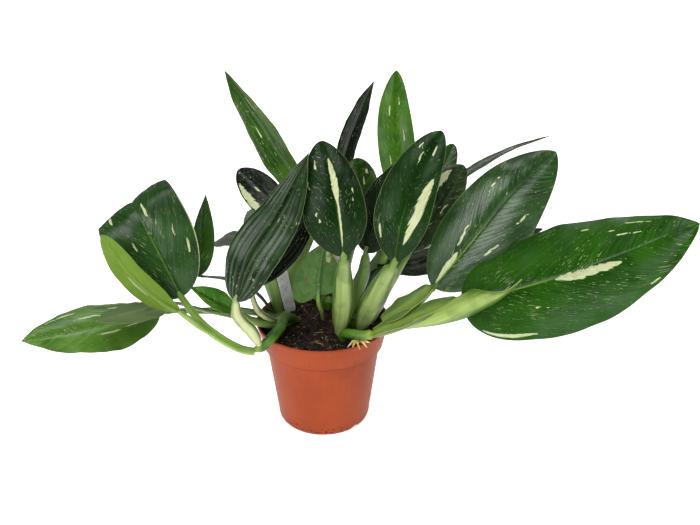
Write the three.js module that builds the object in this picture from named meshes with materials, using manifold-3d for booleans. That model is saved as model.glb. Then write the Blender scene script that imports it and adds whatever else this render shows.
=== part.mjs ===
// A potted variegated monstera: long unsplit leaves on winged stalks, in a tapered nursery pot.
// Millimetres, +Z up, +X to the right of the plant's front, +Y towards its back.
// The origin is the centre of the pot's flat underside.
import * as THREE from 'three'
import { mergeVertices } from 'three/addons/utils/BufferGeometryUtils.js'
import Module from 'manifold-3d'

const wasm = await Module()
wasm.setup()

// ---- Driving dimensions ----
const GAP = 0.3 // clearance that touching pieces keep
const RIM_RADIUS = 60
const POT_HEIGHT = 100
const BASE_RADIUS = 38.5
const FOOT = { radius: 42.5, height: 8 } // where the body's taper meets the rounded foot
const FOOT_STEPS = 4
const BAND_HEIGHT = 23 // the plain collar under the rim
const BODY_TOP_RADIUS = 51.5 // where the body meets the collar
const BAND_FOOT_RADIUS = 54.5 // the collar's own lower edge
const WALL = 1.6
const POT_SIDES = 40
const NOTCH_COUNT = 3 // drainage notches round the foot
const NOTCH_START = 75 // degrees from +X to the first notch
const NOTCH = { width: 9, height: 4, depth: 8 }
const SOIL_LEVEL = 91
const SOIL_RELIEF = 1.2 // height of the soil's low swells
const BLADE_THICKNESS = 1.2
const BLADE_ROWS = 10
const BLADE_COLUMNS = 4
const BLADE_END = 0.09 // narrowest half width, as a share of the widest
const STALK_ROWS = 8
const STALK_COLUMNS = 4
const STALK_EDGE = 0.9 // thickness of a stalk's wings at their edge
const STALK_CORE = 3.2 // thickness of a stalk along its middle
const STEM_RADIUS = 4.5
const STEM_SIDES = 8
const STEM_STEPS = 8
const LABEL = { width: 12, thickness: 1 }

// ---- Colours ----
const COLOUR = {
  pot: 0xb4593a,
  soil: 0x271a14,
  leaf: 0x2f5a1c,
  stalk: 0xa0b36c,
  stem: 0x8dab45,
  root: 0xc9b36a,
  label: 0xf2f2ee
}

// Leaf outlines: where the blade is widest along its midrib, how full its base is, how full its tip is.
// A smaller number is fuller.
const OUTLINE = {
  blunt: { widest: 0.4, base: 0.4, tip: 0.8 },
  oval: { widest: 0.42, base: 0.56, tip: 0.68 },
  round: { widest: 0.5, base: 0.6, tip: 0.55 },
  lance: { widest: 0.43, base: 0.66, tip: 0.95 },
  spear: { widest: 0.34, base: 0.5, tip: 1.1 },
  square: { widest: 0.4, base: 0.5, tip: 0.45 },
  arrow: { widest: 0.26, base: 0.5, tip: 0.95 },
  heart: { widest: 0.36, base: 0.7, tip: 0.6 }
}

// Each leaf: midrib points from base to tip, the way its upper face looks, half widths either side of
// the midrib, the angle that each half lifts by, the angle that it then curls back by, its outline, and how
// far each half's lobe reaches back past the base, where it has one.
// Its stalk: points from root to blade, the way its channel opens, widths at root, middle and blade,
// and the angle that its wings span.
const LEAVES = [
  {
    name: 'right_large',
    midrib: [[116, -58, 148], [172, -72, 170], [232, -80, 198], [289, -84, 228]],
    faces: [0, -0.6, 0.8], half: [47, 47], fold: [8, 8], curl: [14, 14], outline: 'blunt',
    stalk: [[45, -42, 106], [63, -48, 116], [89, -54, 132], [115, -60, 146]],
    opens: [0, -0.3, 1], stalkWidth: [12, 20, 6], wings: 150
  },
  {
    name: 'right_upper',
    midrib: [[95, -32, 147], [125, -26, 185], [158, -16, 226], [194, -5, 258]],
    faces: [0, -0.8, 0.6], half: [32, 37], fold: [14, 10], curl: [20, 16], outline: 'oval',
    stalk: [[53, -30, 112], [68, -35, 123], [83, -37, 136], [94, -34, 146]],
    opens: [0, -0.5, 1], stalkWidth: [10, 20, 5], wings: 150
  },
  {
    name: 'centre_streaked',
    midrib: [[61, -42, 175], [66, -38, 209], [78, -20, 241], [100, 5, 273]],
    faces: [-0.1, -0.9, 0.5], half: [24, 22], fold: [14, 22], curl: [20, 20], outline: 'heart',
    stalk: [[34, -8, 92], [40, -22, 115], [52, -38, 152], [59, -43, 174]],
    opens: [0, 1, -0.2], stalkWidth: [13, 21, 5], wings: 110
  },
  {
    name: 'centre_front',
    midrib: [[19, -40, 179], [15, -36, 210], [9, -20, 239], [0, 2, 265]],
    faces: [0, -0.9, 0.5], half: [28, 24], fold: [12, 10], curl: [16, 16], outline: 'heart',
    stalk: [[15, -18, 92], [18, -28, 123], [19, -38, 157], [19, -41, 178]],
    opens: [0, 1, -0.2], stalkWidth: [10, 19, 5], wings: 110
  },
  {
    name: 'left_ribbed',
    midrib: [[-70, -60, 149], [-55, -52, 188], [-33, -38, 217], [-9, -15, 261]],
    faces: [-0.3, -0.9, 0.4], half: [20, 23], fold: [10, 20], curl: [10, 20], outline: 'spear',
    stalk: [[-52, -62, 107], [-58, -64, 120], [-69, -66, 137], [-71, -62, 148]],
    opens: [0.3, 1, 0], stalkWidth: [6, 13, 4], wings: 120
  },
  {
    name: 'left_dark',
    midrib: [[-61, -30, 146], [-45, -20, 162], [-25, -6, 183], [-3, 10, 212]],
    faces: [-0.3, -0.9, 0.3], half: [15, 16], fold: [14, 14], curl: [10, 10], outline: 'lance',
    stalk: [[-31, 6, 103], [-43, -14, 105], [-56, -28, 122], [-62, -31, 144]],
    opens: [0, 0, 1], stalkWidth: [5, 10, 4], wings: 120
  },
  {
    name: 'tall_left',
    midrib: [[-4, 25, 191], [-31, 48, 231], [-61, 72, 270], [-89, 95, 301]],
    faces: [-0.8, -0.5, 0.3], half: [22, 16], fold: [24, 28], curl: [10, 10], outline: 'lance',
    stalk: [[-33, 36, 90], [-31, 33, 121], [-17, 27, 157], [-5, 25, 189]],
    opens: [0, 1, -0.2], stalkWidth: [6, 14, 4], wings: 130
  },
  {
    name: 'tall_narrow',
    midrib: [[12, 45, 204], [20, 65, 232], [31, 90, 257], [47, 115, 287]],
    faces: [0.8, -0.5, 0.2], half: [16, 11], fold: [14, 20], curl: [10, 10], outline: 'lance',
    stalk: [[-2, 40, 90], [2, 32, 124], [6, 38, 165], [12, 44, 202]],
    opens: [0, 1, -0.2], stalkWidth: [5, 11, 4], wings: 130
  },
  {
    name: 'tall_right',
    midrib: [[73, 20, 201], [68, 40, 231], [64, 62, 273], [66, 85, 304]],
    faces: [-0.1, -0.9, 0.3], half: [17, 16], fold: [18, 18], curl: [12, 12], outline: 'oval',
    stalk: [[33, 18, 90], [42, 20, 118], [58, 16, 165], [72, 19, 199]],
    opens: [0, 1, -0.2], stalkWidth: [6, 13, 4], wings: 130
  },
  {
    name: 'far_right_edge',
    midrib: [[86, 20, 198], [126, 60, 212], [171, 100, 223], [222, 140, 227]],
    faces: [0.1, 0.4, 0.9], half: [9, 9], fold: [16, 16], curl: [8, 8], outline: 'lance',
    stalk: [[26, 34, 90], [42, 36, 124], [66, 32, 165], [85, 21, 197]],
    opens: [0, 1, -0.2], stalkWidth: [5, 11, 4], wings: 130
  },
  {
    name: 'bent',
    midrib: [[-116, -48, 146], [-133, -42, 184], [-150, -28, 213], [-158, -12, 216], [-159, 4, 199],
      [-154, 12, 166]],
    faces: [0.1, -0.9, 0.5], half: [36, 36], fold: [8, 8], curl: [10, 10], outline: 'square',
    stalk: [[-56, -58, 99], [-68, -58, 102], [-84, -58, 112], [-99, -56, 125], [-115, -49, 144]],
    opens: [0, 0.2, 1], stalkWidth: [8, 9, 6], wings: 60
  },
  {
    name: 'young_folded',
    midrib: [[-116, -59, 138], [-130, -65, 151], [-152, -67, 176], [-172, -61, 208]],
    faces: [0.3, 0.9, -0.1], half: [12, 13], fold: [14, 14], curl: [10, 10], outline: 'round',
    stalk: [[-94, -65, 123], [-99, -67, 128], [-106, -65, 133], [-115, -60, 136]],
    opens: [0, 0.2, 1], stalkWidth: [5, 6, 4], wings: 60
  },
  {
    name: 'far_left',
    midrib: [[-140, -28, 121], [-173, -50, 123], [-203, -75, 129], [-234, -100, 134]],
    faces: [0, -0.4, 0.9], half: [28, 28], fold: [8, 8], curl: [16, 16], outline: 'lance',
    stalk: [[-34, 14, 90], [-60, -6, 107], [-94, -16, 114], [-138, -27, 120]],
    opens: [0, 0, 1], stalkWidth: [5, 12, 4], wings: 120
  },
  {
    name: 'left_under',
    midrib: [[-130, -40, 137], [-145, -60, 141], [-161, -76, 144], [-176, -92, 147]],
    faces: [0.1, 0.3, -0.9], half: [17, 16], fold: [14, 14], curl: [10, 10], outline: 'lance',
    stalk: [[-40, 4, 92], [-62, -20, 108], [-97, -32, 123], [-128, -39, 136]],
    opens: [0, 0, 1], stalkWidth: [4, 8, 3], wings: 120
  },
  {
    name: 'small_upright',
    midrib: [[-109, -5, 145], [-106, 2, 166], [-103, 8, 190], [-99, 8, 216]],
    faces: [0.1, -1, 0.2], half: [9, 12], fold: [25, 25], curl: [10, 10], outline: 'spear',
    stalk: [[-43, 14, 91], [-60, 5, 122], [-84, -4, 140], [-108, -5, 144]],
    opens: [0, 0, 1], stalkWidth: [4, 7, 3], wings: 120
  },
  {
    name: 'cream_edge',
    midrib: [[-28, 32, 180], [-43, 42, 192], [-59, 54, 205], [-78, 68, 217]],
    faces: [-0.2, -0.8, 0.6], half: [18, 15], fold: [10, 10], curl: [14, 14], outline: 'round',
    stalk: [[-26, 44, 90], [-26, 36, 121], [-25, 33, 152], [-28, 32, 178]],
    opens: [0, 1, -0.2], stalkWidth: [5, 10, 4], wings: 130
  },
  {
    name: 'grey_curled',
    midrib: [[-72, 55, 151], [-81, 62, 151], [-92, 70, 148], [-107, 78, 138]],
    faces: [0.1, 0.5, -0.9], half: [10, 10], fold: [20, 20], curl: [10, 10], outline: 'round',
    stalk: [[-41, 24, 90], [-48, 28, 118], [-58, 38, 138], [-71, 55, 149]],
    opens: [0, 1, -0.2], stalkWidth: [9, 14, 4], wings: 130
  },
  {
    name: 'back_grey',
    midrib: [[-30, 50, 148], [-46, 66, 152], [-62, 82, 159], [-75, 96, 164]],
    faces: [0.2, 0.7, -0.6], half: [19, 19], fold: [10, 10], curl: [14, 14], outline: 'round',
    stalk: [[-8, 50, 90], [-14, 50, 115], [-22, 50, 134], [-29, 50, 146]],
    opens: [0, 1, -0.2], stalkWidth: [4, 8, 3], wings: 130
  },
  {
    name: 'back_centre',
    midrib: [[34, 30, 181], [33, 38, 200], [32, 46, 218], [30, 53, 233]],
    faces: [-0.3, -0.9, 0.2], half: [17, 20], fold: [25, 25], curl: [12, 12], outline: 'round',
    stalk: [[13, 48, 90], [18, 46, 122], [26, 38, 156], [34, 31, 179]],
    opens: [0, 1, -0.2], stalkWidth: [5, 11, 4], wings: 130
  },
  {
    name: 'dark_centre',
    midrib: [[38, -6, 168], [46, 0, 194], [57, 8, 220], [71, 20, 244]],
    faces: [-0.6, -0.7, 0.2], half: [20, 20], fold: [14, 14], curl: [14, 14], outline: 'blunt',
    stalk: [[22, 8, 90], [28, -4, 122], [36, -9, 148], [38, -7, 166]],
    opens: [0, 1, -0.2], stalkWidth: [6, 14, 4], wings: 110
  },
  {
    name: 'back_right_small',
    midrib: [[92, 56, 183], [103, 70, 200], [113, 86, 216], [122, 100, 231]],
    faces: [0.2, -0.8, 0.5], half: [12, 12], fold: [16, 16], curl: [10, 10], outline: 'round',
    stalk: [[31, 41, 90], [48, 52, 123], [72, 54, 158], [91, 56, 181]],
    opens: [0, 1, -0.2], stalkWidth: [4, 8, 3], wings: 130
  },
  {
    name: 'back_cream',
    midrib: [[77, 1, 165], [92, 8, 189], [107, 17, 213], [123, 28, 235]],
    faces: [0.3, -0.7, 0.7], half: [19, 17], fold: [14, 14], curl: [14, 14], outline: 'round',
    stalk: [[43, 2, 90], [51, -6, 118], [65, -6, 147], [76, 0, 163]],
    opens: [0, 1, -0.2], stalkWidth: [4, 9, 3], wings: 130
  },
  {
    name: 'low_right',
    midrib: [[50, 8, 144], [90, 38, 136], [152, 86, 128], [223, 140, 127]],
    faces: [0.1, -0.3, 0.9], half: [20, 16], fold: [14, 14], curl: [14, 14], outline: 'blunt',
    stalk: [[18, 17, 90], [26, 9, 110], [38, 5, 130], [49, 7, 143]],
    opens: [0, 1, -0.2], stalkWidth: [5, 12, 4], wings: 130
  },
  {
    name: 'front_spotted',
    midrib: [[-3, -28, 138], [-2, -26, 153], [0, -24, 168], [3, -20, 183]],
    faces: [-0.1, 0.9, -0.3], half: [19, 22], fold: [10, 10], curl: [10, 10], outline: 'arrow', lobes: [2, 20],
    stalk: [[0, 14, 90], [-1, -6, 110], [-3, -20, 126], [-3, -27, 136]],
    opens: [0, 1, -0.2], stalkWidth: [3, 4, 3], wings: 60
  },
  {
    name: 'left_young',
    midrib: [[-74, -30, 123], [-85, -34, 131], [-97, -38, 141], [-109, -42, 152]],
    faces: [0, -0.6, 0.8], half: [11, 11], fold: [40, 40], curl: [10, 10], outline: 'lance',
    stalk: [[-28, 4, 90], [-46, -20, 103], [-63, -28, 113], [-73, -30, 122]],
    opens: [0, 1, -0.2], stalkWidth: [4, 8, 3], wings: 130
  }
]

// Short stems that the stalks clasp: points from the soil upwards.
const STEMS = [
  { name: 'stem_right', points: [[18, -16, 84], [20, -27, 98], [27, -37, 104], [36, -41, 105], [46, -41, 107]] },
  {
    name: 'stem_left',
    points: [[-24, 14, 86], [-30, 2, 99], [-34, -16, 107], [-36, -34, 109], [-42, -49, 108], [-50, -56, 103],
      [-58, -58, 100]]
  },
  { name: 'stem_centre', points: [[26, 2, 84], [27, 1, 94], [29, 0, 103]] },
  { name: 'stem_back', points: [[4, 38, 84], [3, 35, 94], [4, 32, 103]] }
]
// The loose sheath in front of the large leaf's base, an open channel like a stalk's.
const SHEATH = {
  stalk: [[70, -48, 119], [98, -68, 141], [124, -77, 162], [140, -80, 176], [150, -80, 187]],
  opens: [0.5, 0.7, -0.5], stalkWidth: [5, 19, 3], wings: 170
}
const AERIAL_ROOT = { name: 'aerial_root', points: [[31, -44, 99], [32, -48, 101.5], [34, -53, 102.5]], radius: 1.8 }

// Blank plant labels pushed into the soil: foot, top, and the way the plate faces.
const LABELS = [
  { name: 'label_left', foot: [-29, 27, 80], top: [-40, 21, 146], faces: [0.7, -0.8, 0.1] },
  { name: 'label_right', foot: [19, 16, 80], top: [8, 8, 172], faces: [0.2, -1, 0] }
]

// ---- Shape helpers ----

// Smooth curve through points, spaced by their distance apart; t runs from 0 to 1.
function curveThrough(points) {
  const p = points.map((q) => new THREE.Vector3(...q))
  const s = [0]
  for (let i = 1; i < p.length; i++) s.push(s[i - 1] + p[i].distanceTo(p[i - 1]))
  const last = p.length - 1
  const total = s[last]
  const before = p[0].clone().multiplyScalar(2).sub(p[1])
  const after = p[last].clone().multiplyScalar(2).sub(p[last - 1])
  const ends = [before, ...p, after]
  const knots = [-s[1], ...s, 2 * total - s[last - 1]]
  const slope = p.map((_, i) => ends[i + 2].clone().sub(ends[i]).divideScalar(knots[i + 2] - knots[i]))
  return (t) => {
    const at = Math.min(Math.max(t, 0), 1) * total
    let k = 0
    while (k < last - 1 && at > s[k + 1]) k++
    const h = s[k + 1] - s[k]
    const u = (at - s[k]) / h
    return new THREE.Vector3()
      .addScaledVector(p[k], 2 * u ** 3 - 3 * u ** 2 + 1)
      .addScaledVector(slope[k], (u ** 3 - 2 * u ** 2 + u) * h)
      .addScaledVector(p[k + 1], 3 * u ** 2 - 2 * u ** 3)
      .addScaledVector(slope[k + 1], (u ** 3 - u ** 2) * h)
  }
}

// Frames along a curve: the face direction is carried along without spin.
function framesAlong(points, face, rows) {
  const curve = curveThrough(points)
  const step = 0.001
  let up = new THREE.Vector3(...face)
  const frames = []
  for (let i = 0; i <= rows; i++) {
    const t = i / rows
    const along = curve(t + step).sub(curve(t - step)).normalize()
    up = up.clone().addScaledVector(along, -up.dot(along)).normalize()
    frames.push({ t, centre: curve(t), up, side: new THREE.Vector3().crossVectors(along, up) })
  }
  return frames
}

// Closed sheet: a grid of middle points with a thickness at each, split half to each face.
function sheetGeometry(middle, thickness) {
  const rows = middle.length
  const columns = middle[0].length
  const positions = []
  for (const sign of [0.5, -0.5]) {
    for (let i = 0; i < rows; i++) {
      for (let j = 0; j < columns; j++) {
        const along = middle[Math.min(i + 1, rows - 1)][j].clone().sub(middle[Math.max(i - 1, 0)][j])
        const across = middle[i][Math.min(j + 1, columns - 1)].clone().sub(middle[i][Math.max(j - 1, 0)])
        const normal = new THREE.Vector3().crossVectors(along, across).normalize()
        const point = middle[i][j].clone().addScaledVector(normal, sign * thickness(i, j))
        positions.push(point.x, point.y, point.z)
      }
    }
  }
  const under = rows * columns
  const at = (i, j) => i * columns + j
  const index = []
  const quad = (a, b, c, d) => index.push(a, b, c, a, c, d)
  for (let i = 0; i < rows - 1; i++) {
    for (let j = 0; j < columns - 1; j++) {
      quad(at(i, j), at(i + 1, j), at(i + 1, j + 1), at(i, j + 1))
      quad(under + at(i, j), under + at(i, j + 1), under + at(i + 1, j + 1), under + at(i + 1, j))
    }
  }
  const edge = (a, b) => quad(a, b, under + b, under + a)
  for (let i = 0; i < rows - 1; i++) {
    edge(at(i + 1, 0), at(i, 0))
    edge(at(i, columns - 1), at(i + 1, columns - 1))
  }
  for (let j = 0; j < columns - 1; j++) {
    edge(at(0, j), at(0, j + 1))
    edge(at(rows - 1, j + 1), at(rows - 1, j))
  }
  const geometry = new THREE.BufferGeometry()
  geometry.setAttribute('position', new THREE.Float32BufferAttribute(positions, 3))
  geometry.setIndex(index)
  return geometry
}

// Share of the widest half width at t along the midrib.
function outlineAt(t, { widest, base, tip }) {
  const reach = t < widest ? 1 - t / widest : (t - widest) / (1 - widest)
  const full = Math.max(1 - reach * reach, 0) ** (t < widest ? base : tip)
  return Math.max(full, BLADE_END)
}

// A leaf blade; grow thickens and widens it all round.
function bladeGeometry(leaf, grow = 0) {
  const outline = OUTLINE[leaf.outline]
  const lobes = leaf.lobes ?? [0, 0]
  const middle = framesAlong(leaf.midrib, leaf.faces, BLADE_ROWS).map(({ t, centre, up, side }) => {
    const along = new THREE.Vector3().crossVectors(up, side)
    const row = []
    for (let j = 0; j <= BLADE_COLUMNS; j++) {
      const v = (2 * j) / BLADE_COLUMNS - 1
      const hand = v < 0 ? 0 : 1
      const share = outlineAt(t, outline)
      const reach = (leaf.half[hand] * share + grow) * Math.abs(v)
      const back = lobes[hand] * share * Math.abs(v) * (1 - t) ** 3
      const lift = THREE.MathUtils.degToRad(leaf.fold[hand] - leaf.curl[hand] * Math.abs(v))
      row.push(centre.clone()
        .addScaledVector(side, Math.sign(v) * reach * Math.cos(lift))
        .addScaledVector(up, reach * Math.sin(lift))
        .addScaledVector(along, -back))
    }
    return row
  })
  return sheetGeometry(middle, () => BLADE_THICKNESS + 2 * grow)
}

// Width of a stalk at t: it swells into wings low down and narrows to a round neck under the blade.
function stalkWidthAt(t, [root, middle, neck]) {
  const stations = [0, 0.15, 0.4, 0.75, 0.92, 1]
  const widths = [root, root + (middle - root) * 0.6, middle, middle * 0.75, neck * 1.1, neck]
  let k = 0
  while (k < stations.length - 2 && t > stations[k + 1]) k++
  return THREE.MathUtils.lerp(widths[k], widths[k + 1], (t - stations[k]) / (stations[k + 1] - stations[k]))
}

// A winged stalk: an open channel, thick along its middle and thin at its wings.
function stalkGeometry(leaf, grow = 0) {
  const span = THREE.MathUtils.degToRad(leaf.wings) / 2
  const middle = framesAlong(leaf.stalk, leaf.opens, STALK_ROWS).map(({ t, centre, up, side }) => {
    const radius = (stalkWidthAt(t, leaf.stalkWidth) / 2 + grow) / Math.sin(span)
    const row = []
    for (let j = 0; j <= STALK_COLUMNS; j++) {
      const turn = ((2 * j) / STALK_COLUMNS - 1) * span
      row.push(centre.clone()
        .addScaledVector(side, radius * Math.sin(turn))
        .addScaledVector(up, radius * (1 - Math.cos(turn))))
    }
    return row
  })
  return sheetGeometry(middle, (i, j) => {
    const v = (2 * j) / STALK_COLUMNS - 1
    return STALK_EDGE + (STALK_CORE - STALK_EDGE) * (1 - v * v) + 2 * grow
  })
}

// A round stem or root along its points, ending in a blunt taper.
function stemGeometry(points, radius) {
  const path = new THREE.CatmullRomCurve3(points.map((q) => new THREE.Vector3(...q)))
  const section = new THREE.Shape()
  for (let k = 0; k < STEM_SIDES; k++) {
    const turn = (k / STEM_SIDES) * 2 * Math.PI
    const place = [radius * Math.cos(turn), radius * Math.sin(turn)]
    if (k === 0) section.moveTo(...place)
    else section.lineTo(...place)
  }
  return new THREE.ExtrudeGeometry(section, { steps: STEM_STEPS, extrudePath: path })
}

// A flat plate pushed into the soil.
function labelGeometry(label, grow = 0) {
  const middle = framesAlong([label.foot, label.top], label.faces, 1).map(({ centre, side }) => {
    const reach = LABEL.width / 2 + grow
    return [-reach, reach].map((offset) => centre.clone().addScaledVector(side, offset))
  })
  return sheetGeometry(middle, () => LABEL.thickness + 2 * grow)
}

// ---- Solids ----

function toSolid(geometry) {
  const bare = geometry.clone()
  bare.deleteAttribute('normal')
  bare.deleteAttribute('uv')
  const merged = mergeVertices(bare, 1e-4)
  const vertProperties = new Float32Array(merged.attributes.position.array)
  const triVerts = new Uint32Array(merged.index.array)
  return new wasm.Manifold(new wasm.Mesh({ numProp: 3, vertProperties, triVerts }))
}

function toGeometry(solid) {
  const mesh = solid.getMesh()
  const geometry = new THREE.BufferGeometry()
  geometry.setAttribute('position', new THREE.BufferAttribute(mesh.vertProperties, 3))
  geometry.setIndex(new THREE.BufferAttribute(mesh.triVerts, 1))
  const faceted = geometry.toNonIndexed()
  faceted.computeVertexNormals()
  return faceted
}

function largestPiece(solid) {
  return solid.decompose().reduce((best, piece) => (piece.volume() > best.volume() ? piece : best))
}

function boxesMeet(a, b) {
  return [0, 1, 2].every((k) => a.min[k] < b.max[k] && b.min[k] < a.max[k])
}

// ---- Pot and soil ----

function ringOf(profile, sides) {
  return new THREE.LatheGeometry(profile.map(([r, z]) => new THREE.Vector2(r, z)), sides).rotateX(Math.PI / 2)
}

// The rounded foot: a quarter of an ellipse from the flat base up to the taper.
function footCurve() {
  return Array.from({ length: FOOT_STEPS + 1 }, (_, k) => {
    const angle = ((k / FOOT_STEPS) * Math.PI) / 2
    const radius = BASE_RADIUS + (FOOT.radius - BASE_RADIUS) * Math.sin(angle)
    return [radius, FOOT.height * (1 - Math.cos(angle))]
  })
}

function potSolid() {
  const bandFoot = POT_HEIGHT - BAND_HEIGHT
  const profile = [
    [0, 0],
    ...footCurve(),
    [BODY_TOP_RADIUS, bandFoot],
    [BAND_FOOT_RADIUS, bandFoot],
    [RIM_RADIUS, POT_HEIGHT],
    [RIM_RADIUS - WALL, POT_HEIGHT],
    [BAND_FOOT_RADIUS - WALL, bandFoot + WALL],
    [BODY_TOP_RADIUS - WALL, bandFoot],
    [FOOT.radius - WALL, FOOT.height],
    [BASE_RADIUS - WALL, WALL],
    [0, WALL]
  ]
  let pot = toSolid(ringOf(profile, POT_SIDES))
  for (let k = 0; k < NOTCH_COUNT; k++) {
    const turn = (k / NOTCH_COUNT) * 2 * Math.PI + (NOTCH_START * Math.PI) / 180
    const notch = new THREE.BoxGeometry(NOTCH.depth, NOTCH.width, 2 * NOTCH.height)
    notch.translate(BASE_RADIUS, 0, 0).rotateZ(turn)
    pot = pot.subtract(toSolid(notch))
  }
  return pot
}

// Radius of the pot's inside at height z.
function insideRadius(z) {
  const bandFoot = POT_HEIGHT - BAND_HEIGHT
  if (z <= FOOT.height) {
    return THREE.MathUtils.mapLinear(z, WALL, FOOT.height, BASE_RADIUS - WALL, FOOT.radius - WALL)
  }
  if (z <= bandFoot) {
    return THREE.MathUtils.mapLinear(z, FOOT.height, bandFoot, FOOT.radius - WALL, BODY_TOP_RADIUS - WALL)
  }
  return THREE.MathUtils.mapLinear(z, bandFoot + WALL, POT_HEIGHT, BAND_FOOT_RADIUS - WALL, RIM_RADIUS - WALL)
}

// The soil fills the pot above the notches, and its top swells and dips a little.
function soilSolid(grow = 0) {
  const foot = NOTCH.height + GAP
  const bandFoot = POT_HEIGHT - BAND_HEIGHT
  const profile = [
    [0, foot],
    [insideRadius(foot) - GAP, foot],
    [insideRadius(FOOT.height) - GAP, FOOT.height],
    [insideRadius(bandFoot) - GAP, bandFoot],
    [insideRadius(bandFoot + WALL) - GAP, bandFoot + 2 * WALL],
    [insideRadius(SOIL_LEVEL) - 2 * GAP + grow, SOIL_LEVEL],
    [42, SOIL_LEVEL],
    [28, SOIL_LEVEL],
    [14, SOIL_LEVEL],
    [0, SOIL_LEVEL]
  ]
  const soil = ringOf(profile, POT_SIDES)
  const place = soil.attributes.position
  for (let i = 0; i < place.count; i++) {
    if (place.getZ(i) < SOIL_LEVEL - 0.01) continue
    const swell = Math.sin(place.getX(i) / 9 + 1) * Math.cos(place.getY(i) / 7)
    place.setZ(i, SOIL_LEVEL + SOIL_RELIEF * swell + grow)
  }
  return toSolid(soil)
}

// ---- Assembly ----

const plant = new THREE.Group()
const placed = [] // grown copies of the pieces so far, which later pieces are cut back from

function addPiece(name, solid, grown, colour, roughness, cutters = placed) {
  const box = solid.boundingBox()
  const near = cutters.filter((cutter) => boxesMeet(box, cutter.boundingBox()))
  const clear = near.reduce((piece, cutter) => piece.subtract(cutter), solid)
  const material = new THREE.MeshStandardMaterial({ color: colour, roughness, metalness: 0 })
  const mesh = new THREE.Mesh(toGeometry(largestPiece(clear)), material)
  mesh.name = name
  plant.add(mesh)
  placed.push(grown)
}

const pot = potSolid()
addPiece('pot', pot, pot, COLOUR.pot, 0.5)
addPiece('soil', soilSolid(), soilSolid(GAP), COLOUR.soil, 1, [])

for (const { name, points } of STEMS) {
  const grown = toSolid(stemGeometry(points, STEM_RADIUS + GAP))
  addPiece(name, toSolid(stemGeometry(points, STEM_RADIUS)), grown, COLOUR.stem, 0.5)
}

const root = AERIAL_ROOT
const grownRoot = toSolid(stemGeometry(root.points, root.radius + GAP))
addPiece(root.name, toSolid(stemGeometry(root.points, root.radius)), grownRoot, COLOUR.root, 0.7)

for (const leaf of LEAVES) {
  addPiece(`${leaf.name}_stalk`, toSolid(stalkGeometry(leaf)), toSolid(stalkGeometry(leaf, GAP)), COLOUR.stalk, 0.5)
}

for (const leaf of LEAVES) {
  addPiece(`${leaf.name}_leaf`, toSolid(bladeGeometry(leaf)), toSolid(bladeGeometry(leaf, GAP)), COLOUR.leaf, 0.4)
}

addPiece('right_large_sheath', toSolid(stalkGeometry(SHEATH)), toSolid(stalkGeometry(SHEATH, GAP)), COLOUR.stalk, 0.5)

for (const label of LABELS) {
  addPiece(label.name, toSolid(labelGeometry(label)), toSolid(labelGeometry(label, GAP)), COLOUR.label, 0.5)
}

export default plant
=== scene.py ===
"""A potted variegated monstera: long unsplit leaves on winged petioles, in a satin nursery pot.

Metres, +Z up, +X to the right of the plant's front, +Y towards its back.
The origin is the centre of the pot's flat underside.
"""

import itertools
import math

import bpy
import numpy as np
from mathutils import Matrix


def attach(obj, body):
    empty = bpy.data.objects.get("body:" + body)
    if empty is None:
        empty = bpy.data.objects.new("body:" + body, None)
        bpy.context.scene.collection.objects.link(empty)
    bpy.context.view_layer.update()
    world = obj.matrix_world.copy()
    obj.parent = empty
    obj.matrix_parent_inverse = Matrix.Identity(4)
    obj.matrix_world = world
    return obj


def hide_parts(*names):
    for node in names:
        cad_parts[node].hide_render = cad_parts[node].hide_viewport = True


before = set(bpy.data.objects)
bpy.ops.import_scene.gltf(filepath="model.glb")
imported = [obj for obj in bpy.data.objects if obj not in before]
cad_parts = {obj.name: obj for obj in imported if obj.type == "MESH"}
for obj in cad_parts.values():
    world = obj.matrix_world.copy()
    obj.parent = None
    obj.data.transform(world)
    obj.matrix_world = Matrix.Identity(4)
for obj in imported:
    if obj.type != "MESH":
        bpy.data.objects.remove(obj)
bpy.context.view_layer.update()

# ---- Sizes ----
MM = 0.001
RIM_RADIUS = 60 * MM
POT_HEIGHT = 100 * MM
BASE_RADIUS = 38.5 * MM
FOOT = {"radius": 42.5 * MM, "height": 8 * MM}  # where the body's taper meets the rounded foot
POT_HOLLOW = 0.9 * MM  # how far the underside stands clear inside the foot's ring
FOOT_RING = 7 * MM
BAND_HEIGHT = 23 * MM  # the plain collar under the rim
BAND_FOOT = POT_HEIGHT - BAND_HEIGHT
BODY_TOP_RADIUS = 51.5 * MM  # where the body meets the collar
BAND_FOOT_RADIUS = 54.5 * MM  # the collar's own lower edge
WALL = 1.6 * MM
LIP_HEIGHT = 4.5 * MM  # the rolled lip round the rim
LIP_STEP = 0.5 * MM  # how far the lip stands out from the collar
LIP_ROLL = 1.1 * MM
POT_SIDES = 256
NOTCH_COUNT = 3  # drainage notches round the foot
NOTCH_START = 75  # degrees from +X to the first notch
NOTCH = {"width": 9 * MM, "height": 4 * MM, "depth": 8 * MM}
POT_MARK = (22.5 * MM, -41.8 * MM, 62 * MM)  # a pale speck on the pot
SOIL_LEVEL = 91 * MM
SOIL_FOOT = 4.3 * MM
SOIL_EDGE = 56 * MM  # crumbs lie this far out
SOIL_RELIEF = ((1.6, 17, 0), (1.1, 6.5, 3.1), (1.0, 2.8, 5.7), (0.6, 1.3, 9.2))  # height, size, shift
SOIL_RINGS = 80
SOIL_SECTORS = 220
FIBRE_COUNT = 560
FIBRE_RINGS = 7
FIBRE_SIDES = 3
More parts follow.
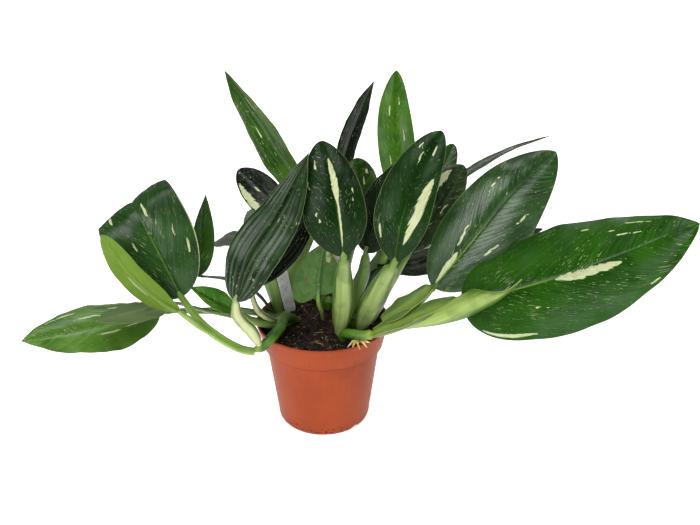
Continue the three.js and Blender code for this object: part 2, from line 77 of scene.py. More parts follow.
# Loose bits on the soil: how many, their smallest and largest size in millimetres, and a seed.
CRUMBS = {"peat_crumbs": (760, 0.5, 2.2, 31), "mineral_grains": (22, 0.35, 0.9, 32)}
BLADE_THICKNESS = 0.55 * MM
MARGIN_WAVES = ((1.5, 2.2), (0.8, 4.6), (0.35, 9.0))  # each wave's swing, and its count along the blade
RIB_HEIGHT = 0.9 * MM
QUILT, GREAT_QUILT = 0.11 * MM, 0.5 * MM  # how far the blade rises between its side veins
BILLOW, BILLOW_SIZE = 1.1 * MM, 24 * MM
GROOVE, GROOVE_HALF = 0.75 * MM, 1.5 * MM  # the midrib's groove above
KEEL, KEEL_HALF = 1.7 * MM, 1.3 * MM  # and its keel below
VEIN_SPACING = 6.5 * MM  # between side veins, along the midrib
GREAT_VEIN_SPACING = 27 * MM
STALK_CORE = 3.2 * MM  # thickness of a petiole along its middle
WING_EDGE = 0.28 * MM  # half thickness of its wings at their edge
WING_WAVE = 0.8 * MM
FLUTE = 0.05 * MM  # depth of the fine lengthwise flutes
STEM_RADIUS = 4.5 * MM
STEM_RINGS, STEM_SIDES = 61, 36
SCAR_SPACING = 19 * MM
ROOT_RINGS, ROOT_SIDES = 21, 14
LABEL = {"half": 6 * MM, "skin": 0.35 * MM, "corner": 2.5 * MM, "point": 14 * MM, "bow": 0.8 * MM}
FLOOR_HALF = 4.0
FLOOR_GLOW = 0.7
STUDIO_WALL = {"radius": 3.6, "height": 2.4, "sides": 96}
WORLD_STRENGTH = 0.17
# Each light's azimuth from the plant's front, elevation, breadth in degrees, and power.
LIGHTS = {
    "key_light": (-27, 27, 34, 1.6),
    "top_light": (10, 76, 40, 1.6),
    "back_light": (172, 48, 26, 0.9),
}
CAMERA_PLACE = (24.4 * MM, -712.8 * MM, 493.5 * MM)
CAMERA_TILT = 64.6  # degrees up from straight down
LENS, SENSOR = 46.3, 36.0
SWEEP = 0.62  # how far along the blade a side vein runs on its way to the margin
CREAM = (206, 210, 172)

# Leaf outlines: where the blade is widest along its midrib, how full its base is, how full its tip is.
# A smaller number is fuller.
OUTLINE = {
    "blunt": (0.4, 0.4, 0.8),
    "oval": (0.42, 0.56, 0.68),
    "round": (0.5, 0.6, 0.55),
    "lance": (0.43, 0.66, 0.95),
    "spear": (0.34, 0.5, 1.1),
    "square": (0.4, 0.5, 0.45),
    "arrow": (0.26, 0.5, 0.95),
    "heart": (0.36, 0.70, 0.60),
}

# Each leaf, in millimetres and degrees, is a row of these values: midrib points from base to tip; the way its
# upper face looks; half widths either side of the midrib; the angle that each half lifts by, and the angle
# that it then curls back by; its outline; its petiole's points from the root up to the blade; the way the
# petiole's channel opens; its widths at root, middle and blade; and the angle that its wings span.
LEAF_VALUES = ("midrib", "faces", "half", "fold", "curl", "outline", "stalk", "opens", "stalk_width", "wings")
LEAF_ROWS = {
    "right_large": (
        [[116, -58, 148], [172, -72, 170], [232, -80, 198], [289, -84, 228]],
        [0, -0.6, 0.8], [47, 47], [8, 8], [14, 14], "blunt",
        [[45, -42, 106], [63, -48, 116], [89, -54, 132]], [0, -0.3, 1], [12, 20, 6], 150),
    "right_upper": (
        [[95, -32, 147], [125, -26, 185], [158, -16, 226], [194, -5, 258]],
        [0, -0.8, 0.6], [32, 37], [14, 10], [20, 16], "oval",
        [[53, -30, 112], [68, -35, 123], [83, -37, 136]], [0, -0.5, 1], [10, 20, 5], 150),
    "centre_streaked": (
        [[61, -42, 175], [66, -38, 209], [78, -20, 241], [100, 5, 273]],
        [-0.1, -0.9, 0.5], [24, 22], [14, 22], [20, 20], "heart",
        [[34, -8, 92], [40, -22, 115], [52, -38, 152]], [0, 1, -0.2], [13, 21, 5], 110),
    "centre_front": (
        [[19, -40, 179], [15, -36, 210], [9, -20, 239], [0, 2, 265]],
        [0, -0.9, 0.5], [28, 24], [12, 10], [16, 16], "heart",
        [[15, -18, 92], [18, -28, 123], [19, -38, 157]], [0, 1, -0.2], [10, 19, 5], 110),
    "left_ribbed": (
        [[-70, -60, 149], [-55, -52, 188], [-33, -38, 217], [-9, -15, 261]],
        [-0.3, -0.9, 0.4], [20, 23], [10, 20], [10, 20], "spear",
        [[-52, -62, 107], [-58, -64, 120], [-69, -66, 137]], [0.3, 1, 0], [6, 13, 4], 120),
    "left_dark": (
        [[-61, -30, 146], [-45, -20, 162], [-25, -6, 183], [-3, 10, 212]],
        [-0.3, -0.9, 0.3], [15, 16], [14, 14], [10, 10], "lance",
        [[-31, 6, 103], [-43, -14, 105], [-56, -28, 122]], [0, 0, 1], [5, 10, 4], 120),
    "tall_left": (
        [[-4, 25, 191], [-31, 48, 231], [-61, 72, 270], [-89, 95, 301]],
        [-0.8, -0.5, 0.3], [22, 16], [24, 28], [10, 10], "lance",
        [[-33, 36, 90], [-31, 33, 121], [-17, 27, 157]], [0, 1, -0.2], [6, 14, 4], 130),
    "tall_narrow": (
        [[12, 45, 204], [20, 65, 232], [31, 90, 257], [47, 115, 287]],
        [0.8, -0.5, 0.2], [16, 11], [14, 20], [10, 10], "lance",
        [[-2, 40, 90], [2, 32, 124], [6, 38, 165]], [0, 1, -0.2], [5, 11, 4], 130),
    "tall_right": (
        [[73, 20, 201], [68, 40, 231], [64, 62, 273], [66, 85, 304]],
        [-0.1, -0.9, 0.3], [17, 16], [18, 18], [12, 12], "oval",
        [[33, 18, 90], [42, 20, 118], [58, 16, 165]], [0, 1, -0.2], [6, 13, 4], 130),
    "far_right_edge": (
        [[86, 20, 198], [126, 60, 212], [171, 100, 223], [222, 140, 227]],
        [0.1, 0.4, 0.9], [9, 9], [16, 16], [8, 8], "lance",
        [[26, 34, 90], [42, 36, 124], [66, 32, 165]], [0, 1, -0.2], [5, 11, 4], 130),
    "bent": (
        [[-116, -48, 146], [-133, -42, 184], [-150, -28, 213], [-158, -12, 216], [-159, 4, 199],
         [-154, 12, 166]],
        [0.1, -0.9, 0.5], [36, 36], [8, 8], [10, 10], "square",
        [[-56, -58, 99], [-68, -58, 102], [-84, -58, 112], [-99, -56, 125]], [0, 0.2, 1], [8, 9, 6], 60),
    "young_folded": (
        [[-116, -59, 138], [-130, -65, 151], [-152, -67, 176], [-172, -61, 208]],
        [0.3, 0.9, -0.1], [12, 13], [14, 14], [10, 10], "round",
        [[-94, -65, 123], [-99, -67, 128], [-106, -65, 133]], [0, 0.2, 1], [5, 6, 4], 60),
    "far_left": (
        [[-140, -28, 121], [-173, -50, 123], [-203, -75, 129], [-234, -100, 134]],
        [0, -0.4, 0.9], [28, 28], [8, 8], [16, 16], "lance",
        [[-34, 14, 90], [-60, -6, 107], [-94, -16, 114]], [0, 0, 1], [5, 12, 4], 120),
    "left_under": (
        [[-130, -40, 137], [-145, -60, 141], [-161, -76, 144], [-176, -92, 147]],
        [0.1, 0.3, -0.9], [17, 16], [14, 14], [10, 10], "lance",
        [[-40, 4, 92], [-62, -20, 108], [-97, -32, 123]], [0, 0, 1], [4, 8, 3], 120),
    "small_upright": (
        [[-109, -5, 145], [-106, 2, 166], [-103, 8, 190], [-99, 8, 216]],
        [0.1, -1, 0.2], [9, 12], [25, 25], [10, 10], "spear",
        [[-43, 14, 91], [-60, 5, 122], [-84, -4, 140]], [0, 0, 1], [4, 7, 3], 120),
    "cream_edge": (
        [[-28, 32, 180], [-43, 42, 192], [-59, 54, 205], [-78, 68, 217]],
        [-0.2, -0.8, 0.6], [18, 15], [10, 10], [14, 14], "round",
        [[-26, 44, 90], [-26, 36, 121], [-25, 33, 152]], [0, 1, -0.2], [5, 10, 4], 130),
    "grey_curled": (
        [[-72, 55, 151], [-81, 62, 151], [-92, 70, 148], [-107, 78, 138]],
        [0.1, 0.5, -0.9], [10, 10], [20, 20], [10, 10], "round",
        [[-41, 24, 90], [-48, 28, 118], [-58, 38, 138]], [0, 1, -0.2], [9, 14, 4], 130),
    "back_grey": (
        [[-30, 50, 148], [-46, 66, 152], [-62, 82, 159], [-75, 96, 164]],
        [0.2, 0.7, -0.6], [19, 19], [10, 10], [14, 14], "round",
        [[-8, 50, 90], [-14, 50, 115], [-22, 50, 134]], [0, 1, -0.2], [4, 8, 3], 130),
    "back_centre": (
        [[34, 30, 181], [33, 38, 200], [32, 46, 218], [30, 53, 233]],
        [-0.3, -0.9, 0.2], [17, 20], [25, 25], [12, 12], "round",
        [[13, 48, 90], [18, 46, 122], [26, 38, 156]], [0, 1, -0.2], [5, 11, 4], 130),
    "dark_centre": (
        [[38, -6, 168], [46, 0, 194], [57, 8, 220], [71, 20, 244]],
        [-0.6, -0.7, 0.2], [20, 20], [14, 14], [14, 14], "blunt",
        [[22, 8, 90], [28, -4, 122], [36, -9, 148]], [0, 1, -0.2], [6, 14, 4], 110),
    "back_right_small": (
        [[92, 56, 183], [103, 70, 200], [113, 86, 216], [122, 100, 231]],
        [0.2, -0.8, 0.5], [12, 12], [16, 16], [10, 10], "round",
        [[31, 41, 90], [48, 52, 123], [72, 54, 158]], [0, 1, -0.2], [4, 8, 3], 130),
    "back_cream": (
        [[77, 1, 165], [92, 8, 189], [107, 17, 213], [123, 28, 235]],
        [0.3, -0.7, 0.7], [19, 17], [14, 14], [14, 14], "round",
        [[43, 2, 90], [51, -6, 118], [65, -6, 147]], [0, 1, -0.2], [4, 9, 3], 130),
    "low_right": (
        [[50, 8, 144], [90, 38, 136], [152, 86, 128], [223, 140, 127]],
        [0.1, -0.3, 0.9], [20, 16], [14, 14], [14, 14], "blunt",
        [[18, 17, 90], [26, 9, 110], [38, 5, 130]], [0, 1, -0.2], [5, 12, 4], 130),
    "front_spotted": (
        [[-3, -28, 138], [-2, -26, 153], [0, -24, 168], [3, -20, 183]],
        [-0.1, 0.9, -0.3], [19, 22], [10, 10], [10, 10], "arrow",
        [[0, 14, 90], [-1, -6, 110], [-3, -20, 126]], [0, 1, -0.2], [3, 4, 3], 60),
    "left_young": (
        [[-74, -30, 123], [-85, -34, 131], [-97, -38, 141], [-109, -42, 152]],
        [0, -0.6, 0.8], [11, 11], [40, 40], [10, 10], "lance",
        [[-28, 4, 90], [-46, -20, 103], [-63, -28, 113]], [0, 1, -0.2], [4, 8, 3], 130),
}

# How far each half's lobe reaches back past the base, in millimetres, on a leaf that has lobes.
LOBES = {"front_spotted": (2, 20)}

# How a leaf is coloured: the deep and the lit tone of its green, its underside, how strongly its side veins
# and its midrib show (side veins below 0 are darker than the leaf, and on a ribbed blade the side-vein value
# sets how strong the painted highlight on its ridges is), how thick its cream flecks lie, its gloss, the
# lengthwise ridges on each half of a ribbed blade, its petiole's tone, and its cream patches. A patch runs
# from one place to another in shares of the midrib's length and of the half width, and then has a half width
# of its own.
PLAIN_LOOK = dict(veins=0.3, midrib=0.2, flecks=0.3, gloss=0.19, ribs=0, petiole="green", spots=False,
                  patches=())
LOOKS = {
    "right_large": dict(deep=(20, 60, 2), lit=(42, 92, 8), veins=0.08, midrib=0.8, flecks=0.6,
        petiole="olive", patches=[
        (0.4, 0.02, 0.68, 0.16, 0.1), (0.07, 0.93, 0.29, 0.9, 0.035), (0.1, 0.78, 0.24, 0.77, 0.014),
        (0.74, -0.76, 0.85, -0.72, 0.02), (0.69, -0.46, 0.79, -0.41, 0.025),
        (0.54, -0.78, 0.62, -0.73, 0.016), (0.73, 0.89, 0.79, 0.91, 0.02), (0.3, 0.45, 0.36, 0.5, 0.015),
        (0.64, -0.62, 0.7, -0.58, 0.014)]),
    "right_upper": dict(deep=(20, 50, 12), lit=(44, 82, 28), veins=-0.25, midrib=0.7, flecks=0.2,
        gloss=0.45, petiole="olive", patches=[
        (0.02, -0.1, 0.24, -0.12, 0.1), (0.26, -0.22, 0.4, -0.35, 0.03), (0.3, 0.4, 0.42, 0.52, 0.03),
        (0.55, 0.55, 0.66, 0.66, 0.03), (0.6, -0.5, 0.7, -0.62, 0.025)]),
    "centre_streaked": dict(deep=(11, 36, 7), lit=(27, 62, 15), veins=0.1, flecks=0.5, gloss=0.13,
        petiole="pale", patches=[
        (0.14, 0.34, 0.66, 0.72, 0.17), (0.16, -0.74, 0.26, -0.76, 0.05), (0.7, -0.2, 0.8, -0.26, 0.04),
        (0.78, 0.3, 0.9, 0.3, 0.06), (0.8, -0.55, 0.86, -0.6, 0.05)]),
    "centre_front": dict(deep=(8, 30, 5), lit=(21, 52, 12), veins=0.1, midrib=0.15, flecks=0.6, gloss=0.13,
        petiole="pale", patches=[
        (0.05, 0.03, 0.6, 0.1, 0.04), (0.46, 0.07, 0.84, 0.14, 0.13), (0.74, -0.5, 0.86, -0.52, 0.05),
        (0.3, -0.5, 0.4, -0.62, 0.03), (0.45, 0.6, 0.56, 0.7, 0.03), (0.6, -0.75, 0.68, -0.8, 0.03)]),
    "left_ribbed": dict(deep=(7, 26, 4), lit=(38, 66, 28), veins=0.7, midrib=0.1, flecks=0.25, gloss=0.22,
        ribs=4, petiole="creamy"),
    "left_dark": dict(deep=(7, 13, 6), lit=(20, 30, 18), veins=0.6, midrib=0.1, ribs=4, petiole="creamy"),
    "tall_left": dict(deep=(28, 62, 8), lit=(66, 106, 22), midrib=0.3, flecks=0.35, gloss=0.13, ribs=4,
        patches=[
        (0.35, 0.1, 0.5, 0.14, 0.04), (0.55, -0.4, 0.66, -0.45, 0.04), (0.68, 0.3, 0.8, 0.3, 0.05)]),
    "tall_narrow": dict(deep=(5, 14, 3), lit=(20, 34, 15), veins=0.5, midrib=0.1, gloss=0.1, ribs=4),
    "tall_right": dict(deep=(40, 84, 12), lit=(80, 124, 32), veins=-0.15, flecks=0.5, patches=[
        (0.3, -0.45, 0.42, -0.5, 0.05), (0.45, 0.45, 0.58, 0.5, 0.05), (0.64, -0.35, 0.74, -0.35, 0.05),
        (0.72, 0.35, 0.8, 0.35, 0.05)]),
    "far_right_edge": dict(deep=(16, 32, 12), lit=(42, 62, 34)),
    "bent": dict(deep=(18, 48, 12), lit=(46, 84, 30), veins=0.1, midrib=0.4, flecks=0.4, gloss=0.32,
        petiole="stem", patches=[
        (0.5, -0.66, 0.6, -0.64, 0.035), (0.45, 0.16, 0.55, 0.18, 0.03), (0.31, -0.4, 0.39, -0.4, 0.025),
        (0.3, 0.54, 0.4, 0.57, 0.03), (0.2, 0.74, 0.3, 0.77, 0.03), (0.16, -0.66, 0.24, -0.64, 0.03),
        (0.05, 0.985, 0.5, 0.985, 0.012)]),
    "young_folded": dict(deep=(100, 134, 46), lit=(128, 160, 62), under=(112, 144, 50), veins=0.2,
        midrib=0.3, flecks=0.5, gloss=0.08, petiole="stem", patches=[
        (0.3, 0.2, 0.6, 0.3, 0.1)]),
    "far_left": dict(deep=(58, 100, 24), lit=(98, 140, 50), veins=0.15, midrib=0.35, flecks=0.6, patches=[
        (0.15, -0.3, 0.6, -0.45, 0.035), (0.25, 0.3, 0.7, 0.45, 0.035), (0.5, 0.7, 0.8, 0.8, 0.04),
        (0.1, 0.55, 0.4, 0.65, 0.03)]),
    "left_under": dict(deep=(50, 82, 36), lit=(86, 112, 62), under=(110, 132, 84), veins=0.5, midrib=0.4,
        flecks=0.2),
    "small_upright": dict(deep=(24, 58, 12), lit=(56, 98, 28), flecks=0.25, petiole="dark"),
    "cream_edge": dict(deep=(5, 14, 4), lit=(14, 28, 10), veins=0.2, midrib=0.1, flecks=0.6, patches=[
        (0.22, -0.76, 0.88, -0.74, 0.2), (0.3, 0.3, 0.44, 0.36, 0.05), (0.55, -0.1, 0.68, -0.12, 0.05)]),
    "grey_curled": dict(deep=(46, 64, 38), lit=(76, 92, 64), under=(94, 100, 90), flecks=0.2),
    "back_grey": dict(deep=(50, 72, 42), lit=(80, 100, 68), under=(104, 110, 104), flecks=0.2),
    "back_centre": dict(deep=(22, 46, 8), lit=(58, 94, 34), flecks=0.6, patches=[
        (0.25, 0.45, 0.5, 0.55, 0.08), (0.55, 0.3, 0.7, 0.34, 0.06), (0.7, 0.6, 0.84, 0.6, 0.08)]),
    "dark_centre": dict(deep=(6, 18, 5), lit=(18, 38, 12), veins=0.2, midrib=0.1, flecks=0.35),
    "back_right_small": dict(deep=(18, 42, 12), lit=(48, 78, 32)),
    "back_cream": dict(deep=(20, 36, 14), lit=(52, 72, 36), flecks=0.5, patches=[
        (0.42, -0.72, 0.9, -0.62, 0.26), (0.45, 0.3, 0.62, 0.36, 0.05)]),
    "low_right": dict(deep=(9, 16, 8), lit=(28, 42, 22), midrib=0.1, flecks=0.7, petiole="dark", patches=[
        (0.1, -0.88, 0.9, -0.9, 0.08), (0.3, 0.2, 0.55, 0.25, 0.04)]),
    "front_spotted": dict(deep=(66, 100, 42), lit=(96, 126, 68), under=(76, 112, 50), veins=0.2,
        midrib=0.35, flecks=0.6, petiole="stem", spots=True, patches=[
        (0.62, -0.45, 0.9, -0.55, 0.18)]),
    "left_young": dict(deep=(40, 94, 14), lit=(80, 136, 36), midrib=0.3, flecks=0.4),
}

# The petioles' tones: middle, stripes, wings.
PETIOLE_TONES = {
    "pale": ((84, 116, 36), (152, 170, 102), (46, 82, 16)),
    "olive": ((74, 106, 22), (130, 152, 70), (50, 86, 14)),
    "creamy": ((72, 108, 36), (192, 198, 144), (42, 76, 22)),
    "green": ((58, 98, 26), (124, 154, 76), (32, 64, 14)),
    "dark": ((24, 46, 16), (60, 86, 42), (14, 28, 9)),
    "stem": ((104, 140, 50), (140, 166, 84), (88, 124, 36)),
}

# Short stems that the petioles clasp, their points from the soil upwards, in millimetres.
STEMS = {
    "stem_right": [[18, -16, 84], [20, -27, 98], [27, -37, 104], [36, -41, 105], [46, -41, 107]],
    "stem_left": [[-24, 14, 86], [-30, 2, 99], [-34, -16, 107], [-36, -34, 109], [-42, -49, 108],
                  [-50, -56, 103], [-58, -58, 100]],
    "stem_centre": [[26, 2, 84], [27, 1, 94], [29, 0, 103]],
    "stem_back": [[4, 38, 84], [3, 35, 94], [4, 32, 103]],
}

# The loose sheath in front of the large leaf's base: an open channel along its points, its widths along
# them, and the angle that it spans.
SHEATH = {
    "points": [[70, -48, 119], [98, -68, 141], [124, -77, 162], [140, -80, 176], [150, -80, 187]],
    "opens": [0.5, 0.7, -0.5], "widths": [6, 12, 18, 20, 17], "span": 190,
}

# Stubs of aerial root under the right-hand stem: start, middle and end in millimetres.
ROOT_STUBS = [
    [[31, -43, 100], [31, -48, 101], [33, -54, 98.6]],
    [[27, -43, 100], [25, -48, 101], [22, -52, 99.5]],
    [[34, -43, 100], [36, -47, 101], [39, -51, 99]],
    [[29, -42, 100], [28, -47, 100.4], [26, -53, 98.8]],
    [[36, -42, 100], [39, -45, 101.2], [42, -47, 101.2]],
]

# Blank plant labels pushed into the soil: foot, top, and the way the plate faces.
LABELS = {
    "label_left": ([-29, 27, 80], [-40, 21, 146], [0.7, -0.8, 0.1]),
    "label_right": ([19, 16, 80], [8, 8, 172], [0.2, -1, 0]),
}


# ---- Numbers over whole arrays ----

LATTICE = np.random.default_rng(11).random((32, 32, 32))


def bumps(points, size, shift=0.0):
    """Smooth noise from -1 to 1: random values at the corners of cells of that size, blended across each
    cell by 3u^2 - 2u^3."""
    place = np.asarray(points) / size + shift
    cell = np.floor(place).astype(int)
    u = place - cell
    u = u * u * (3 - 2 * u)
    total = 0.0
    for corner in itertools.product((0, 1), repeat=3):
        share = np.prod(np.where(corner, u, 1 - u), axis=-1)
        at = (cell + corner) % 32
        total = total + share * LATTICE[at[..., 0], at[..., 1], at[..., 2]]
    return 2 * total - 1


def unit(vectors):
    """Each vector divided by its length."""
    return vectors / np.maximum(np.linalg.norm(vectors, axis=-1, keepdims=True), 1e-12)


def smooth(x, low, high):
    """0 below low, 1 above high, and 3u^2 - 2u^3 between."""
    u = np.clip((x - low) / (high - low), 0, 1)
    return u * u * (3 - 2 * u)


def curve_through(points, t):
    """Smooth curve through points by chord length: a cubic between neighbours, its slope at each point
    the chord between the points either side of it."""
    p = np.asarray(points, float)
    s = np.concatenate([[0], np.cumsum(np.linalg.norm(np.diff(p, axis=0), axis=1))])
    ends = np.vstack([2 * p[0] - p[1], p, 2 * p[-1] - p[-2]])
    knots = np.concatenate([[-s[1]], s, [2 * s[-1] - s[-2]]])
    slope = (ends[2:] - ends[:-2]) / (knots[2:] - knots[:-2])[:, None]
    at = np.clip(t, 0, 1) * s[-1]
    k = np.clip(np.searchsorted(s, at, side="right") - 1, 0, len(p) - 2)
    h = (s[k + 1] - s[k])[:, None]
    u = (at - s[k])[:, None] / h
    return (p[k] * (2 * u**3 - 3 * u**2 + 1) + slope[k] * (u**3 - 2 * u**2 + u) * h
            + p[k + 1] * (3 * u**2 - 2 * u**3) + slope[k + 1] * (u**3 - u**2) * h)


def frames_along(points, face, t, steps=10):
    """Centre, face direction and side direction at each t. The face direction is carried along the curve
    in even steps, losing its share along the curve at each, and is blended between them."""
    even = np.linspace(0, 1, steps + 1)
    reach = 1e-3
    ahead = unit(curve_through(points, even + reach) - curve_through(points, even - reach))
    up = [np.asarray(face, float)]
    for direction in ahead:
        up.append(unit(up[-1] - direction * (up[-1] @ direction)))
    up = np.array(up[1:])
    along = unit(curve_through(points, t + reach) - curve_through(points, t - reach))
    up = np.stack([np.interp(t, even, up[:, k]) for k in range(3)], axis=1)
    up = unit(up - along * np.sum(up * along, axis=1, keepdims=True))
    return curve_through(points, t) * MM, up, np.cross(along, up)


def even_turn(count):
    """Evenly spaced angles of a full turn."""
    return np.arange(count) / count * 2 * np.pi


def way_length(points):
    """Length of a line of points."""
    return np.linalg.norm(np.diff(np.array(points, float), axis=0), axis=1).sum()


def spread(count, pinch):
    """count + 1 values from 0 to 1, closer together at both ends by that share."""
    u = np.linspace(0, 1, count + 1)
    return u - pinch * np.sin(2 * np.pi * u) / (2 * np.pi)


# ---- Meshes ----

def mesh_piece(name, points, quads, triangles=None, fields=None, materials=(), faces=None):
    """Puts a point array and its faces into a new object. fields are point values that materials read."""
    triangles = np.zeros((0, 3), int) if triangles is None else triangles
    mesh = bpy.data.meshes.new(name)
    mesh.vertices.add(len(points))
    mesh.vertices.foreach_set("co", np.ascontiguousarray(points, np.float32).ravel())
    corners = np.concatenate([quads.ravel(), triangles.ravel()])
    starts = np.concatenate([np.arange(len(quads)) * 4, quads.size + np.arange(len(triangles)) * 3])
    mesh.loops.add(len(corners))
    mesh.loops.foreach_set("vertex_index", corners)
    mesh.polygons.add(len(starts))
    mesh.polygons.foreach_set("loop_start", starts)
    if faces is not None:
        mesh.polygons.foreach_set("material_index", faces)
    mesh.update(calc_edges=True)
    mesh.validate()
    for field, values in (fields or {}).items():
        kind = "FLOAT_VECTOR" if values.ndim == 2 else "FLOAT"
        key = "vector" if values.ndim == 2 else "value"
        made = mesh.attributes.new(field, kind, "POINT")
        made.data.foreach_set(key, np.ascontiguousarray(values, np.float32).ravel())
    mesh.shade_smooth()
    mesh.set_sharp_from_angle(angle=math.radians(42))
    for material in materials:
        mesh.materials.append(material)
    piece = bpy.data.objects.new(name, mesh)
    bpy.context.scene.collection.objects.link(piece)
    return piece


def grid_faces(rows, columns, closed=False):
    """Quads of a grid of points, row by row, turned so that they face (across x along)."""
    i, j = np.meshgrid(np.arange(rows - 1), np.arange(columns - (0 if closed else 1)), indexing="ij")
    i, j = i.ravel(), j.ravel()
    right = (j + 1) % columns
    low, high = i * columns, (i + 1) * columns
    return np.stack([low + j, low + right, high + right, high + j], 1)


def two_faces(upper_name, fields):
    """Point values of a closed shell: each field once for either grid, and which of the points are upper."""
    fields = {field: np.stack(values, -1).reshape(-1, 3) for field, values in fields.items()}
    count = len(next(iter(fields.values())))
    doubled = {field: np.tile(values, (2, 1)) for field, values in fields.items()}
    return {**doubled, upper_name: np.concatenate([np.ones(count), np.zeros(count)])}


def sandwich(upper, lower):
    """The points of a closed shell: its upper grid, then its lower one."""
    return np.concatenate([upper.reshape(-1, 3), lower.reshape(-1, 3)])


def shell_faces(rows, columns):
    """Faces of a closed shell: the upper grid, the lower grid turned over, and a strip round their edge."""
    count = rows * columns
    upper = grid_faces(rows, columns)
    lower = grid_faces(rows, columns)[:, ::-1] + count
    first, last = np.arange(columns), (rows - 1) * columns + np.arange(columns)
    left, right = np.arange(rows) * columns, np.arange(rows) * columns + columns - 1
    loop = np.concatenate([left[:-1], last[:-1], right[:0:-1], first[:0:-1]])
    following = np.roll(loop, -1)
    rim = np.stack([loop, following, following + count, loop + count], 1)
    return np.vstack([upper, lower, rim])


def end_fans(rows, sides):
    """Triangles from the first and the last ring of a closed grid to the two points that follow the grid."""
    j = np.arange(sides)
    following = (j + 1) % sides
    last, count = (rows - 1) * sides, rows * sides
    foot = np.stack([following, j, np.full(sides, count)], 1)
    head = np.stack([last + j, last + following, np.full(sides, count + 1)], 1)
    return np.vstack([foot, head])


def tube_arrays(path, radii, sides):
    """A round tube: rings of points about a path, each pushed out by its radius, with a point at each end
    to close it."""
    rows = len(path)
    ahead = unit(np.gradient(path, axis=0))
    side = unit(np.cross(ahead, np.array([0.13, 0.21, 0.97])))
    up = np.cross(side, ahead)
    angle = even_turn(sides)
    ring = side[:, None] * np.cos(angle)[None, :, None] + up[:, None] * np.sin(angle)[None, :, None]
    points = (path[:, None] + ring * np.asarray(radii)[:, None, None]).reshape(-1, 3)
    points = np.vstack([points, path[0], path[-1]])
    return points, grid_faces(rows, sides, closed=True), end_fans(rows, sides)


def lathe(name, profile, sides, materials, faces_of_row):
    """A closed surface of revolution: the profile, which starts and ends on the axis, carried round it."""
    rim = np.asarray(profile)[1:-1]
    angle = even_turn(sides)
    points = np.stack([rim[:, 0, None] * np.cos(angle), rim[:, 0, None] * np.sin(angle),
                       np.repeat(rim[:, 1, None], sides, 1)], -1).reshape(-1, 3)
    points = np.vstack([points, [0, 0, profile[0][1]], [0, 0, profile[-1][1]]])
    rows = len(rim)
    quads = grid_faces(rows, sides, closed=True)
    kinds = np.concatenate([np.repeat(faces_of_row[:rows - 1], sides), np.full(sides, faces_of_row[0]),
                            np.full(sides, faces_of_row[-1])])
    return mesh_piece(name, points, quads, end_fans(rows, sides), materials=materials, faces=kinds)


def take_part(piece, slot, *nodes):
    """The piece stands for those nodes of the frame and rides on the plant."""
    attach(piece, "root")
    if nodes:
        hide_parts(*nodes)


# ---- Materials ----

def shade(red, green, blue):
    """A display colour, 0 to 255 each, as the linear colour that a shader takes."""
    shares = (red / 255, green / 255, blue / 255)
    return (*(c / 12.92 if c <= 0.0404 else ((c + 0.055) / 1.055) ** 2.4 for c in shares), 1.0)


